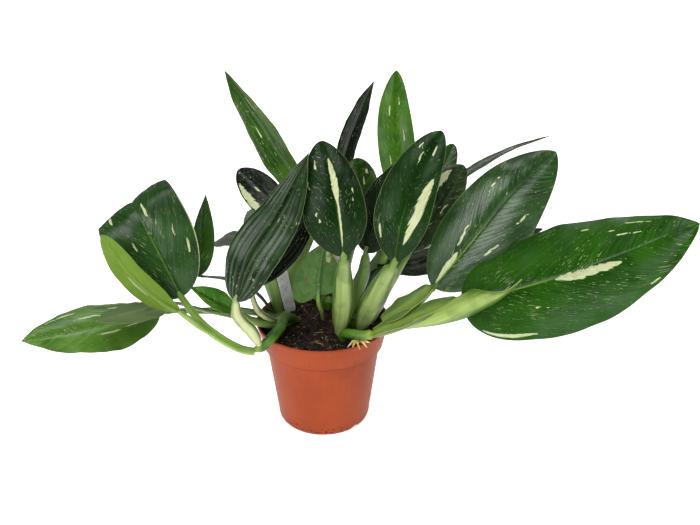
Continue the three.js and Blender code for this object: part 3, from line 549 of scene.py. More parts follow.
class Finish:
    """A material being made. Each call adds one node and gives back its output."""

    def __init__(self, name):
        self.material = bpy.data.materials.new(name)
        self.material.use_nodes = True
        self.tree = self.material.node_tree
        self.tree.nodes.clear()

    def node(self, kind, inputs, output=0, **settings):
        """A node of that kind: settings are its own choices, inputs are links or constants."""
        made = self.tree.nodes.new(kind)
        for key, value in settings.items():
            setattr(made, key, value)
        for key, value in inputs.items():
            if isinstance(value, bpy.types.NodeSocket):
                self.tree.links.new(value, made.inputs[key])
            else:
                made.inputs[key].default_value = value
        return made.outputs[output] if len(made.outputs) else made

    def maths(self, operation, a, b=0.0):
        """The result of that operation on a and b."""
        return self.node("ShaderNodeMath", {0: a, 1: b}, operation=operation)

    def plus(self, a, b):
        """a + b"""
        return self.maths("ADD", a, b)

    def minus(self, a, b):
        """a - b"""
        return self.maths("SUBTRACT", a, b)

    def times(self, a, b):
        """a x b"""
        return self.maths("MULTIPLY", a, b)

    def ramp(self, x, low, high, at_low=0.0, at_high=1.0):
        """at_low below low, at_high above high, and smooth between."""
        inputs = {"Value": x, "From Min": low, "From Max": high, "To Min": at_low, "To Max": at_high}
        return self.node("ShaderNodeMapRange", inputs, interpolation_type="SMOOTHSTEP")

    def mix(self, share, a, b):
        """Colour a where share is 0 and b where it is 1. Each is a link, or the parts of a display colour."""
        a, b = (tone if isinstance(tone, bpy.types.NodeSocket) else shade(*tone) for tone in (a, b))
        return self.node("ShaderNodeMix", {0: share, 6: a, 7: b}, 2, data_type="RGBA")

    def spots(self, colour, value, low, high, share, tone):
        """The colour, turned by that share to the tone where the value is high."""
        return self.mix(self.ramp(value, low, high, 0.0, share), colour, tone)

    def field(self, name, output="Fac"):
        """A value stored on the mesh."""
        return self.node("ShaderNodeAttribute", {}, output, attribute_name=name)

    def parts(self, vector):
        """The three parts of a vector."""
        made = self.tree.nodes.new("ShaderNodeSeparateXYZ")
        self.tree.links.new(vector, made.inputs[0])
        return made.outputs[0], made.outputs[1], made.outputs[2]

    def place(self):
        """The point's place on the object."""
        return self.node("ShaderNodeTexCoord", {}, "Object")

    def scaled(self, vector, factors, shift=(0, 0, 0)):
        """The vector with each part times its own factor, then shifted."""
        return self.node("ShaderNodeMapping", {"Vector": vector, "Scale": factors, "Location": shift})

    def noise(self, vector, scale, detail):
        """Cloudy noise about 0.5, finer with the scale and rougher with the detail."""
        inputs = {"Vector": vector, "Scale": scale, "Detail": detail}
        return self.node("ShaderNodeTexNoise", inputs, "Fac")

    def stretched(self, vector, scales, detail, shift=(0, 0, 0)):
        """Noise with its own scale along each part of the vector."""
        return self.noise(self.scaled(vector, scales, shift), 1, detail)

    def skin(self, colour, roughness, height=None, distance=0.0003, strength=1.0, **constants):
        """Ends the material in a surface of that colour, with a bump of that depth."""
        inputs = {"Base Color": colour, "Roughness": roughness}
        inputs.update({key.replace("_", " "): value for key, value in constants.items()})
        if height is not None:
            bump = {"Height": height, "Distance": distance, "Strength": strength}
            inputs["Normal"] = self.node("ShaderNodeBump", bump)
        surface = self.node("ShaderNodeBsdfPrincipled", inputs)
        self.node("ShaderNodeOutputMaterial", {"Surface": surface})
        return self.material


def leaf_slot(name):
    """A name for a leaf by its general tone: leaf_pale, leaf_green or leaf_dark."""
    pale = ("young_folded", "left_under", "front_spotted", "grey_curled", "back_grey")
    green = ("right_large", "right_upper", "centre_streaked", "tall_right", "tall_left", "bent", "far_left")
    return "leaf_pale" if name in pale else "leaf_green" if name in green else "leaf_dark"


def leaf_finish(name, look, length, seed):
    """Satin leaf: two greens clouded together, fine side veins, a pale midrib and a thin pale margin. Cream
    patches have ragged edges, and cream flecks lie along the veins. The underside is duller and greyer. A
    ribbed blade has a painted highlight along its ridges and painted shade in the troughs between them."""
    f = Finish(f"variegated_{name}")
    along, across, margin = f.parts(f.field("leaf_place", "Vector"))
    vein = f.field("leaf_vein", "Vector")
    root, _, cream = f.parts(vein)
    upper = f.field("upper_face")
    shift = (seed * 3.7, seed * 1.9, 0)
    cloud = f.noise(f.place(), 38, 3)
    grain = f.stretched(vein, (520, 42, 0), 3, shift)
    fine = f.stretched(vein, (1500, 160, 0), 2, shift)
    tone = f.ramp(f.plus(f.times(cloud, 0.45), f.times(grain, 0.55)), 0.36, 0.68)
    green = f.mix(tone, look["deep"], look["lit"])
    sway = f.times(f.minus(f.stretched(vein, (60, 14, 0), 3, shift), 0.5), 8 * MM)
    wandering = f.plus(root, sway)
    beat = f.maths("PINGPONG", f.maths("DIVIDE", wandering, VEIN_SPACING), 0.5)
    line = f.ramp(beat, 0.0, 0.075, 1.0, 0.0)
    close = f.maths("PINGPONG", f.maths("DIVIDE", wandering, VEIN_SPACING / 5), 0.5)
    hair = f.ramp(close, 0.0, 0.2, 0.35, 0.0)
    faint = f.times(f.maths("MAXIMUM", f.times(line, 0.6), hair), abs(look["veins"]))
    if look["ribs"]:
        folds = f.stretched(vein, (38, 9, 0), 3, shift)
        # painted highlight along the ridge crests, then painted shade along the troughs between them
        ridge_highlight = f.times(f.ramp(beat, 0.12, 0.5), f.ramp(folds, 0.38, 0.60, 0.05, 1.0))
        green = f.mix(f.times(ridge_highlight, look["veins"]), green, (0.55 * c + 62 for c in look["lit"]))
        green = f.mix(f.times(line, 0.5), green, (0.5 * c for c in look["deep"]))
    else:
        vein_tone = (0.5 * c + 60 for c in look["lit"]) if look["veins"] > 0 else (14, 30, 12)
        green = f.mix(faint, green, vein_tone)

    ragged = f.minus(f.stretched(vein, (210, 42, 0), 4, shift), 0.5)
    edge = f.plus(cream, f.times(ragged, 1.7))
    patch = f.ramp(edge, 0.0, 0.14)
    broken = f.ramp(f.stretched(vein, (620, 80, 0), 2, shift), 0.26, 0.34)
    patch = f.times(patch, broken)
    crowd = f.noise(f.scaled(f.place(), (1, 1, 1), shift), 45, 1)
    thick = 0.735 - 0.04 * look["flecks"]
    dash = f.stretched(vein, (900, 190, 0), 1.5, (seed * 5.1, seed, 0))
    dash = f.ramp(f.plus(dash, f.times(f.minus(crowd, 0.5), 0.35)), thick, thick + 0.018)
    cells = {"Vector": f.scaled(vein, (760, 420, 0), shift), "Scale": 1.0}
    speck = f.node("ShaderNodeTexVoronoi", cells, "Distance")
    speck = f.ramp(speck, 0.13, 0.21, 1.0, 0.0)
    sparse = f.ramp(f.stretched(vein, (210, 130, 0), 2, shift), 0.58 - 0.08 * look["flecks"], 0.64)
    speck = f.times(f.times(speck, sparse), 0.85)
    flecks = f.maths("MAXIMUM", f.times(dash, 0.85), speck)
    cream_tone = f.mix(f.ramp(fine, 0.35, 0.6), (168, 182, 120), CREAM)
    green = f.mix(flecks, green, (186, 196, 146))
    face = f.mix(patch, green, cream_tone)

    off = f.maths("ABSOLUTE", across)
    fade = f.ramp(along, length * 0.35, length * 1.0, 1.0, 0.15)
    rib = f.times(f.ramp(off, 0.45 * MM, 1.05 * MM, 1.0, 0.0), fade)
    rib_tone = f.mix(f.ramp(along, length * 0.25, length * 0.6), (112, 146, 48), (16, 40, 8))
    bare = f.minus(1.0, f.times(patch, 0.7))
    face = f.mix(f.times(f.times(rib, bare), look["midrib"]), face, rib_tone)
    rim = f.ramp(margin, 0.16 * MM, 0.42 * MM, 0.6, 0.0)
    face = f.mix(rim, face, (150, 164, 108))

    dull = look.get("under", tuple(0.55 * d + 0.45 * g for d, g in zip(look["lit"], (132, 150, 116))))
    under = f.mix(tone, (0.88 * c for c in dull), dull)
    under = f.mix(f.times(f.maths("MAXIMUM", line, hair), 0.16), under, (150, 166, 118))
    under = f.mix(f.times(patch, 0.7), under, (178, 190, 140))
    under = f.mix(f.times(rib, 0.6), under, (0.7 * c + 44 for c in dull))
    if look["spots"]:
        mottle = f.noise(f.place(), 170, 4)
        under = f.spots(under, mottle, 0.42, 0.66, 0.6, (52, 88, 36))
        rust = f.ramp(f.noise(f.place(), 190, 4), 0.64, 0.69, 0.0, 0.8)
        under = f.mix(rust, under, (104, 66, 40))
        under = f.mix(f.times(speck, 0.8), under, (176, 186, 140))
        burnt = f.ramp(f.plus(margin, f.times(ragged, 3 * MM)), 0.2 * MM, 1.6 * MM, 0.85, 0.0)
        burnt = f.times(burnt, f.ramp(along, length * 0.45, length * 0.7))
        under = f.mix(burnt, under, (120, 74, 44))
    colour = f.mix(upper, under, face)
    height = f.plus(f.times(grain, 0.5), f.times(fine, 0.25))
    height = f.minus(height, f.times(line, 0.3))
    gloss = f.ramp(upper, 0.0, 1.0, 0.56, 0.0)
    roughness = f.maths("MAXIMUM", gloss, f.ramp(grain, 0.3, 0.7, 0.17, 0.27))
    return f.skin(colour, roughness, height, 0.00028, 0.9, Specular_IOR_Level=look["gloss"])


def petiole_finish(name, middle, stripe, wing, gloss=0.30):
    """A petiole's skin: soft pale stripes run along it, strongest along its middle, greener towards its wings
    and its neck, paler at its root, with a thin pale margin. Inside the channel it is turned a share towards
    its middle tone, as painted shade."""
    f = Finish(name)
    place = f.field("stalk_place", "Vector")
    margin = f.parts(place)[2]
    share, v, winged = f.parts(f.field("stalk_share", "Vector"))
    inner = f.field("inner_face")
    off = f.maths("ABSOLUTE", v)
    broad = f.stretched(place, (7, 230, 0), 2)
    narrow = f.stretched(place, (12, 800, 0), 3, (3, 7, 0))
    cloud = f.noise(f.place(), 70, 2)
    light = f.minus(f.plus(broad, 0.10), f.times(off, 0.26))
    colour = f.mix(f.ramp(light, 0.38, 0.58), middle, stripe)
    colour = f.spots(colour, narrow, 0.50, 0.64, 0.5, (min(c + 22, 214) for c in stripe))
    colour = f.spots(colour, cloud, 0.50, 0.72, 0.35, wing)
    colour = f.mix(f.ramp(share, 0.0, 0.30, 0.45, 0.0), colour, stripe)
    edge = f.times(f.ramp(f.plus(off, f.times(narrow, 0.3)), 0.60, 1.12), winged)
    colour = f.mix(f.times(edge, 0.85), colour, wing)
    neck = f.ramp(share, 0.85, 0.96, 0.0, 0.6)
    colour = f.mix(neck, colour, middle)
    rim = f.times(f.ramp(margin, 0.10 * MM, 0.34 * MM, 0.75, 0.0), winged)
    colour = f.mix(rim, colour, (min(c + 30, 210) for c in stripe))
    # painted shade: the inner face, inside the channel, is turned a share towards the middle tone
    colour = f.mix(f.times(inner, 0.3), colour, middle)
    roughness = f.ramp(narrow, 0.3, 0.7, gloss, gloss + 0.1)
    height = f.plus(f.times(broad, 0.6), f.times(narrow, 0.4))
    return f.skin(colour, roughness, height, 0.0006, 0.9, Specular_IOR_Level=0.35)


def stem_finish():
    """Fresh stem: green to yellow-green in clouds, with fine rings of old leaf scars."""
    f = Finish("green_stem")
    place = f.place()
    cloud = f.noise(place, 90, 3)
    ring = f.stretched(place, (120, 120, 900), 2)
    x = f.parts(place)[0]
    colour = f.mix(f.ramp(cloud, 0.36, 0.64), (38, 82, 10), (78, 122, 22))
    tip = f.maths("MAXIMUM", f.ramp(x, 30 * MM, 44 * MM), f.ramp(x, -54 * MM, -48 * MM, 1.0, 0.0))
    colour = f.mix(f.times(tip, 0.8), colour, (140, 166, 48))
    colour = f.spots(colour, ring, 0.60, 0.72, 0.35, (160, 150, 84))
    return f.skin(colour, f.ramp(cloud, 0.3, 0.7, 0.36, 0.5), ring, 0.0004, 0.7)


def root_finish():
    """Young root: straw yellow to cream, browner in spots."""
    f = Finish("aerial_root_skin")
    place = f.place()
    cloud = f.noise(place, 260, 3)
    spot = f.noise(place, 900, 2)
    colour = f.mix(f.ramp(cloud, 0.38, 0.62), (198, 168, 84), (226, 206, 158))
    colour = f.spots(colour, spot, 0.62, 0.74, 0.7, (150, 96, 62))
    return f.skin(colour, f.ramp(cloud, 0.3, 0.7, 0.55, 0.7), spot, 0.0003, 0.8)


def soil_finish():
    """Damp peat: near-black browns in clumps, with rust and tan specks."""
    f = Finish("damp_peat")
    place = f.place()
    clump = f.noise(place, 260, 5)
    speck = f.noise(place, 950, 3)
    colour = f.mix(f.ramp(clump, 0.36, 0.62), (9, 6, 5), (30, 19, 14))
    colour = f.spots(colour, speck, 0.60, 0.68, 0.7, (88, 56, 36))
    colour = f.mix(f.ramp(speck, 0.32, 0.42, 0.9, 0.0), colour, (4, 3, 2))
    height = f.plus(f.times(clump, 0.6), f.times(speck, 0.4))
    return f.skin(colour, f.ramp(clump, 0.3, 0.7, 0.95, 0.72), height, 0.0015, 1.0, Specular_IOR_Level=0.3)


def fibre_finish():
    """Plant fibre: each fibre has its own tone, from dark brown through rust to tan."""
    f = Finish("peat_fibre")
    tone = f.field("tone")
    colour = f.mix(f.ramp(tone, 0.25, 0.75), (52, 32, 20), (128, 92, 60))
    colour = f.mix(f.ramp(tone, 0.80, 0.97), colour, (196, 172, 132))
    grain = f.noise(f.place(), 1400, 2)
    colour = f.spots(colour, grain, 0.5, 0.7, 0.4, (50, 30, 18))
    return f.skin(colour, f.ramp(grain, 0.3, 0.7, 0.7, 0.85), grain, 0.0002, 0.6)


def crumb_finish():
    """Peat crumb: dark, a few of them reddish."""
    f = Finish("peat_crumb")
    tone = f.field("tone")
    colour = f.mix(f.ramp(tone, 0.3, 0.85), (14, 9, 7), (56, 36, 25))
    colour = f.mix(f.ramp(tone, 0.90, 0.98), colour, (128, 82, 50))
    grain = f.noise(f.place(), 1100, 3)
    colour = f.spots(colour, grain, 0.5, 0.7, 0.5, (14, 9, 7))
    return f.skin(colour, f.ramp(grain, 0.3, 0.7, 0.8, 0.95), grain, 0.0005, 0.9, Specular_IOR_Level=0.3)


def grain_finish():
    """Mineral grain: off-white with greyer hollows."""
    f = Finish("mineral_grain")
    grain = f.noise(f.place(), 1200, 3)
    colour = f.mix(f.ramp(grain, 0.36, 0.62), (150, 142, 128), (222, 216, 204))
    return f.skin(colour, f.ramp(grain, 0.3, 0.7, 0.7, 0.9), grain, 0.0003, 0.8)


def pot_finish():
    """Moulded pot plastic: satin terracotta, faintly clouded, with a fine pebble. Damp dirt clings round
    its foot and in specks above it. Painted shadow darkens a thin line under the collar's step, and painted
    shade darkens the notches and the underside inside the foot."""
    f = Finish("terracotta_plastic")
    place = f.place()
    x, y, z = f.parts(place)
    cloud = f.noise(place, 24, 3)
    streak = f.stretched(place, (240, 240, 22), 2)
    pebble = f.noise(place, 1700, 2)
    colour = f.mix(f.ramp(cloud, 0.36, 0.64), (146, 60, 26), (156, 66, 30))
    colour = f.spots(colour, streak, 0.54, 0.72, 0.14, (176, 84, 48))
    dirt = f.noise(place, 520, 4)
    foot = f.ramp(z, 2 * MM, 16 * MM, 0.16, 0.0)
    spot = f.ramp(f.plus(dirt, foot), 0.685, 0.73, 0.0, 0.85)
    colour = f.mix(spot, colour, (58, 30, 20))
    # painted shade: darkens the notches' inner walls and the underside inside the foot ring
    inward = f.ramp(f.maths("SQRT", f.plus(f.times(x, x), f.times(y, y))),
                    BASE_RADIUS - 1.8 * MM, BASE_RADIUS - 0.6 * MM, 0.9, 0.0)
    inward = f.times(inward, f.ramp(z, 4.5 * MM, 6 * MM, 1.0, 0.0))
    colour = f.mix(inward, colour, (40, 22, 15))
    smear = f.ramp(f.plus(f.noise(place, 120, 4), f.ramp(z, 0.0, 9 * MM, 0.14, 0.0)), 0.62, 0.76, 0.0, 0.5)
    colour = f.mix(smear, colour, (108, 52, 34))
    # painted shadow: a thin dark line just under the collar's step
    step = f.times(f.ramp(z, BAND_FOOT - 2.4 * MM, BAND_FOOT - 0.8 * MM, 0.0, 0.8),
                   f.ramp(z, BAND_FOOT + 0.5 * MM, BAND_FOOT + 1.3 * MM, 1.0, 0.0))
    colour = f.mix(step, colour, (92, 38, 20))
    mark = f.node("ShaderNodeVectorMath", {0: place, 1: POT_MARK}, "Value", operation="DISTANCE")
    colour = f.mix(f.ramp(mark, 0.5 * MM, 0.9 * MM, 0.9, 0.0), colour, (232, 222, 210))
    roughness = f.plus(f.ramp(cloud, 0.3, 0.7, 0.40, 0.48), f.times(spot, 0.35))
    height = f.plus(f.times(pebble, 0.3), f.times(spot, 0.7))
    return f.skin(colour, roughness, height, 0.00022, 0.6, Specular_IOR_Level=0.14)


def pot_inside_finish():
    """The pot's inner wall: the same plastic in shadow tones, with peat dried on its lower part."""
    f = Finish("terracotta_plastic_inside")
    place = f.place()
    z = f.parts(place)[2]
    cloud = f.noise(place, 60, 4)
    colour = f.mix(f.ramp(cloud, 0.36, 0.64), (132, 54, 36), (158, 72, 50))
    line = f.plus(z, f.times(f.minus(cloud, 0.5), 14 * MM))
    stain = f.ramp(line, SOIL_LEVEL + 2 * MM, SOIL_LEVEL + 7.5 * MM, 0.92, 0.1)
    colour = f.mix(stain, colour, (44, 24, 18))
    return f.skin(colour, f.ramp(cloud, 0.3, 0.7, 0.5, 0.75), cloud, 0.0004, 0.7)


def label_finish():
    """White tag plastic, faintly mottled, with a little dirt where it meets the soil."""
    f = Finish("white_tag_plastic")
    place = f.place()
    z = f.parts(place)[2]
    cloud = f.noise(place, 140, 3)
    colour = f.mix(f.ramp(cloud, 0.36, 0.64), (226, 227, 222), (242, 242, 240))
    dirt = f.ramp(f.plus(f.noise(place, 500, 4), f.ramp(z, SOIL_LEVEL, POT_HEIGHT, 0.2, 0.0)), 0.62, 0.72)
    colour = f.mix(f.times(dirt, 0.7), colour, (84, 62, 46))
    return f.skin(colour, f.ramp(cloud, 0.3, 0.7, 0.34, 0.44), cloud, 0.0001, 0.5)


def floor_finish():
    """Matt white paper, lit a little from beneath."""
    f = Finish("studio_paper")
    grain = f.noise(f.place(), 900, 2)
    colour = f.mix(grain, (246, 246, 246), (250, 250, 250))
    return f.skin(colour, f.ramp(grain, 0.3, 0.7, 0.85, 0.95), Specular_IOR_Level=0.2,
                  Emission_Color=(1, 1, 1, 1), Emission_Strength=FLOOR_GLOW)


def wall_finish():
    """Plain white paper, evenly lit."""
    f = Finish("wall_paper")
    grain = f.noise(f.place(), 20, 2)
    colour = f.mix(grain, (250, 250, 250), (252, 252, 252))
    return f.skin(colour, f.ramp(grain, 0.3, 0.7, 0.9, 0.95), Specular_IOR_Level=0.0,
                  Emission_Color=(1, 1, 1, 1), Emission_Strength=1.0)


PETIOLE_FINISHES = {tone: petiole_finish(f"{tone}_petiole_skin", *shades)
                    for tone, shades in PETIOLE_TONES.items()}
SHEATH_FINISH = petiole_finish("sheath_skin", (92, 124, 40), (148, 170, 88), (62, 98, 22))
STEM_FINISH = stem_finish()
ROOT_FINISH = root_finish()
SOIL_FINISH = soil_finish()
FIBRE_FINISH = fibre_finish()
CRUMB_FINISH = crumb_finish()
GRAIN_FINISH = grain_finish()
POT_FINISH = pot_finish()
POT_INSIDE_FINISH = pot_inside_finish()
LABEL_FINISH = label_finish()


# ---- The plant's pieces ----

def outline_at(t, widest, base, tip):
    """Share of the widest half width: (1 - r^2) to a power, r being the distance from the widest place as
    a share of its side, with one power towards the base and another towards the tip."""
    low = np.maximum(1 - (1 - np.minimum(t / widest, 1)) ** 2, 0) ** base
    high = np.maximum(1 - np.maximum((t - widest) / (1 - widest), 0) ** 2, 0) ** tip
    return np.maximum(np.where(t < widest, low, high), 0.012)


def patch_field(t, v, patches):
    """How deep each point lies in a cream patch: 1 on the patch's own line less the distance across as a
    share of its half width, which comes to a point at both ends."""
    field = np.full(t.shape, -1.0)
    for t0, v0, t1, v1, half in patches:
        u = (t - t0) / (t1 - t0)
        reach = np.clip(4 * u * (1 - u), 0, 1) ** 0.6 * half
        off = np.abs(v - v0 - (v1 - v0) * u)
        inside = np.where((u > 0) & (u < 1), 1 - off / np.maximum(reach, 1e-4), -1)
        field = np.maximum(field, np.maximum(inside, -1))
    return field


def blade(name, leaf, look, seed):
    """The leaf's blade. A grid of t along the midrib and v across, -1 to 1: the midrib's point, plus
    v x half width x outline sideways, lifted by fold - curl x |v|. A lobe reaches back by its length x
    outline x |v| x (1 - t)^3. The margins wave, the side veins quilt the surface between them, the midrib is
    a groove above and a keel below. A ribbed blade has lengthwise ridges in place of the quilting."""
    length = way_length(leaf["midrib"]) * MM
    half = np.array(leaf["half"]) * MM
    rows = int(np.clip(length / (1.25 * MM), 60, 150))
    columns = 2 * int(np.clip(half.max() / (1.3 * MM), 12, 34))
    t = spread(rows, 0.75)
    w = spread(columns // 2, 0.55)
    v = np.concatenate([-w[:0:-1], w])
    centre, up, side = frames_along(leaf["midrib"], leaf["faces"], t)
    t, v = t[:, None] + 0 * v[None], v[None] + 0 * t[:, None]
    hand = (v >= 0).astype(int)
    share = outline_at(t, *OUTLINE[leaf["outline"]])
    width = half[hand] * share
    reach = width * np.abs(v)
    lift = np.radians(np.array(leaf["fold"])[hand] - np.array(leaf["curl"])[hand] * np.abs(v))
    rng = np.random.default_rng(seed)
    waves = 0.0
    for swing, count in MARGIN_WAVES:
        phase = rng.random(2) * 2 * np.pi
        waves = waves + swing * np.sin(2 * np.pi * count * t + np.where(hand, *phase))
    waves = waves * np.abs(v) ** 2.4 * min(half.max() / (45 * MM), 1) * smooth(t, 0, 0.15) * 0.9 * MM
    ease = np.abs(v) ** 1.1
    root = (t - SWEEP * ease) / (1 - SWEEP * ease) * length
    run = np.sign(v) * reach * 1.3
    groove = -GROOVE * np.exp(-((reach / GROOVE_HALF) ** 2)) * (1 - 0.6 * t)
    ribs = look["ribs"]
    if ribs:
        root, run = v * ribs * VEIN_SPACING, t * length
        beat = np.abs(np.sin(np.pi * v * ribs))
        uneven = 0.7 + 0.5 * bumps(np.stack([v * ribs, 2 * t, 0 * t], -1), 1.0, 2.3 * seed)
        quilt = RIB_HEIGHT * beat * uneven * smooth(t, 0.0, 0.2) * (1 - smooth(t, 0.75, 1.0))
    else:
        beat = np.abs(np.sin(np.pi * root / VEIN_SPACING))
        great = np.abs(np.sin(np.pi * root / GREAT_VEIN_SPACING + 0.6 * np.sign(v)))
        quilt = QUILT * np.sqrt(beat + 0.01) + GREAT_QUILT * np.sqrt(great + 0.02)
        quilt = quilt * smooth(np.abs(v), 0.02, 0.3) * (1 - smooth(np.abs(v), 0.7, 1))
    flat = np.stack([t * length, np.sign(v) * reach, 0 * t], -1)
    broad = np.minimum(width / (20 * MM), 1)
    billow = BILLOW * bumps(flat, BILLOW_SIZE, 1.7 * seed) * broad
    height = reach * np.sin(lift) + waves + quilt * broad + billow + groove
    back = np.array(LOBES.get(name, (0, 0)))[hand] * MM * share * np.abs(v) * (1 - t) ** 3
    middle = (centre[:, None] + side[:, None] * (np.sign(v) * reach * np.cos(lift))[..., None]
              + up[:, None] * height[..., None] - np.cross(up, side)[:, None] * back[..., None])
    normal = unit(np.cross(np.gradient(middle, axis=1), np.gradient(middle, axis=0)))
    thick = BLADE_THICKNESS * (1 - 0.55 * np.abs(v) ** 8)[..., None]
    keel = KEEL * np.exp(-((reach / KEEL_HALF) ** 2)) * (1 - 0.85 * t) * smooth(width, 0, 4 * MM)
    keel = keel[..., None]
    points = sandwich(middle + normal * thick / 2, middle - normal * (thick / 2 + keel))
    margin = width - reach
    cream = patch_field(t, v, look["patches"])
    fields = two_faces("upper_face", {"leaf_place": (t * length, np.sign(v) * reach, margin),
                                      "leaf_vein": (root, run, cream)})
    piece = mesh_piece(f"{name}_blade", points, shell_faces(rows + 1, columns + 1), fields=fields,
                       materials=[leaf_finish(name, look, length, seed)])
    take_part(piece, leaf_slot(name), f"{name}_leaf")


def petiole_width(t, root, middle, neck):
    """Width at t: it swells into wings, ends them in a shoulder, and goes on as a narrow neck."""
    stations = [0, 0.15, 0.4, 0.7, 0.9, 0.925, 0.955, 1.05]
    widths = [root * 0.8, root + (middle - root) * 0.55, middle, middle * 0.84, middle * 0.56, middle * 0.5,
              neck, neck]
    return np.interp(t, stations, widths) * MM


def channel(path, opens, width, span, winged, core, seed, mouth=0.0):
    """An open channel: an arc across, carried along its points. The arc's radius is half the width over the
    sine of half the angle that it spans. It is thick along its middle and thin at its wings, which wave, and
    where winged falls to 0 its section turns into an oval. mouth draws the second wing in towards the end,
    so that the first ends in a point. Gives the shell's points and the values that its material reads."""
    rows, columns = len(width) - 1, 32
    t = np.linspace(0, 1, rows + 1)
    v = np.sin(np.linspace(-1, 1, columns + 1) * np.pi / 2)
    centre, up, side = frames_along(path, opens, t)
    length = way_length(centre)
    kept = 1 - mouth * smooth(t, 0.5, 1.0)[:, None]
    lean = (1 + v[None]) * kept - 1
    turn = lean * span / 2
    phase = np.random.default_rng(seed + 100).random(2) * 2 * np.pi
    wave = WING_WAVE * np.sin(2 * np.pi * 2.3 * t[:, None] + np.where(v > 0, *phase)[None])
    radius = (width / 2 / math.sin(span / 2))[:, None]
    winged = winged[:, None]
    rise = radius * (1 - np.cos(turn)) + wave * np.abs(lean) ** 3 * winged * (width / (20 * MM))[:, None]
    across = (radius * np.sin(turn))[..., None]
    middle = centre[:, None] + side[:, None] * across + up[:, None] * rise[..., None]
    normal = unit(up[:, None] * np.cos(turn)[..., None] - side[:, None] * np.sin(turn)[..., None])
    flat = np.sqrt(np.maximum(1 - v**2, 0))[None]
    ribs = FLUTE * np.cos(v * 9 * np.pi)[None] * winged
    wing_half = WING_EDGE + (core[:, None] / 2 - WING_EDGE) * flat**3 + ribs * flat
    neck_half = width[:, None] * 0.42 * flat + 0.05 * MM
    thick = (wing_half * winged + neck_half * (1 - winged))[..., None]
    points = sandwich(middle + normal * thick, middle - normal * thick)
    whole = np.zeros(turn.shape)
    half = width[:, None] / 2 + whole
    place = (t[:, None] * length + whole, lean * half, (1 - np.abs(v)) * half)
    shares = (t[:, None] / 0.96 + whole, v[None] + whole, winged + whole)
    fields = two_faces("inner_face", {"stalk_place": place, "stalk_share": shares})
    return points, shell_faces(rows + 1, columns + 1), fields


def petiole(name, leaf, look, seed):
    """The leaf's petiole: a channel whose wings end in shoulders, and whose neck runs on under the blade.
    A narrow one without wings is round all along."""
    base = np.array(leaf["midrib"][0], float)
    face = unit(np.array(leaf["faces"], float))
    ahead = np.array(leaf["midrib"][1], float) - base
    ahead = unit(ahead - face * (ahead @ face))
    path = leaf["stalk"] + [list(base - 0.5 * face), list(base + 5 * ahead - 0.9 * face)]
    length = way_length(path)
    share = np.linspace(0, 1, int(np.clip(length / 1.3, 40, 100)) + 1) / 0.96
    width = petiole_width(share, *leaf["stalk_width"])
    winged = 1 - smooth(share, 0.90, 0.955)
    if leaf["wings"] <= 60:
        width = np.interp(share, [0, 0.5, 1.05], np.array(leaf["stalk_width"])) * MM
        winged = 0 * share
    core = np.minimum(STALK_CORE, width * 0.32)
    span = math.radians(leaf["wings"])
    points, faces, fields = channel(path, leaf["opens"], width, span, winged, core, seed)
    piece = mesh_piece(f"{name}_petiole", points, faces, fields=fields,
                       materials=[PETIOLE_FINISHES[look["petiole"]]])
    take_part(piece, "stalk", f"{name}_stalk")


def loose_sheath():
    """The sheath beside the large leaf: a thin channel that ends in an oblique mouth and a pointed tip."""
    t = np.linspace(0, 1, 91)
    width = np.interp(t, np.linspace(0, 1, len(SHEATH["widths"])), SHEATH["widths"]) * MM
    core = 1.6 * MM * (1 - 0.6 * t)
    points, faces, fields = channel(SHEATH["points"], SHEATH["opens"], width, math.radians(SHEATH["span"]),
                                    1 + 0 * t, core, 5, mouth=0.97)
    piece = mesh_piece("large_leaf_sheath", points, faces, fields=fields, materials=[SHEATH_FINISH])
    take_part(piece, "stalk", "right_large_sheath")


def stem(name, points, seed):
    """A stem: a tube along its points, swollen at its leaf scars and tapering to a rounded end."""
    t = np.linspace(0, 1, STEM_RINGS)
    path = curve_through(points, t) * MM
    length = way_length(path)
    scar = np.abs(np.sin(np.pi * (t * length / SCAR_SPACING + 0.3)))
    radius = STEM_RADIUS * (1.02 + 0.05 * np.exp(-((scar / 0.15) ** 2)) - 0.06 * t)
    radius = radius * np.sqrt(np.clip((1 - t) / 0.08, 0.02, 1)) * np.sqrt(np.clip(t / 0.05, 0.05, 1))
    points, quads, triangles = tube_arrays(path, radius, STEM_SIDES)
    points = points + bumps(points, 6 * MM, seed)[:, None] * 0.18 * MM
    piece = mesh_piece(name.replace("stem_", "vine_"), points, quads, triangles, materials=[STEM_FINISH])
    take_part(piece, "stem", name)


def root_stubs():
    """A tuft of short aerial roots: tubes through three points each, tapering to blunt ends."""
    parts, count = [], 0
    t = np.linspace(0, 1, ROOT_RINGS)
    for stub in ROOT_STUBS:
        path = curve_through(stub, t) * MM
        radius = (1.6 - 1.3 * t) * MM * np.sqrt(np.clip((1 - t) / 0.12, 0.05, 1))
        points, quads, triangles = tube_arrays(path, radius, ROOT_SIDES)
        points = points + bumps(points, 2 * MM)[:, None] * 0.12 * MM
        parts.append((points, quads + count, triangles + count))
        count += len(points)
    points, quads, triangles = (np.vstack(arrays) for arrays in zip(*parts))
    piece = mesh_piece("root_tuft", points, quads, triangles, materials=[ROOT_FINISH])
    take_part(piece, "aerial_root", "aerial_root")


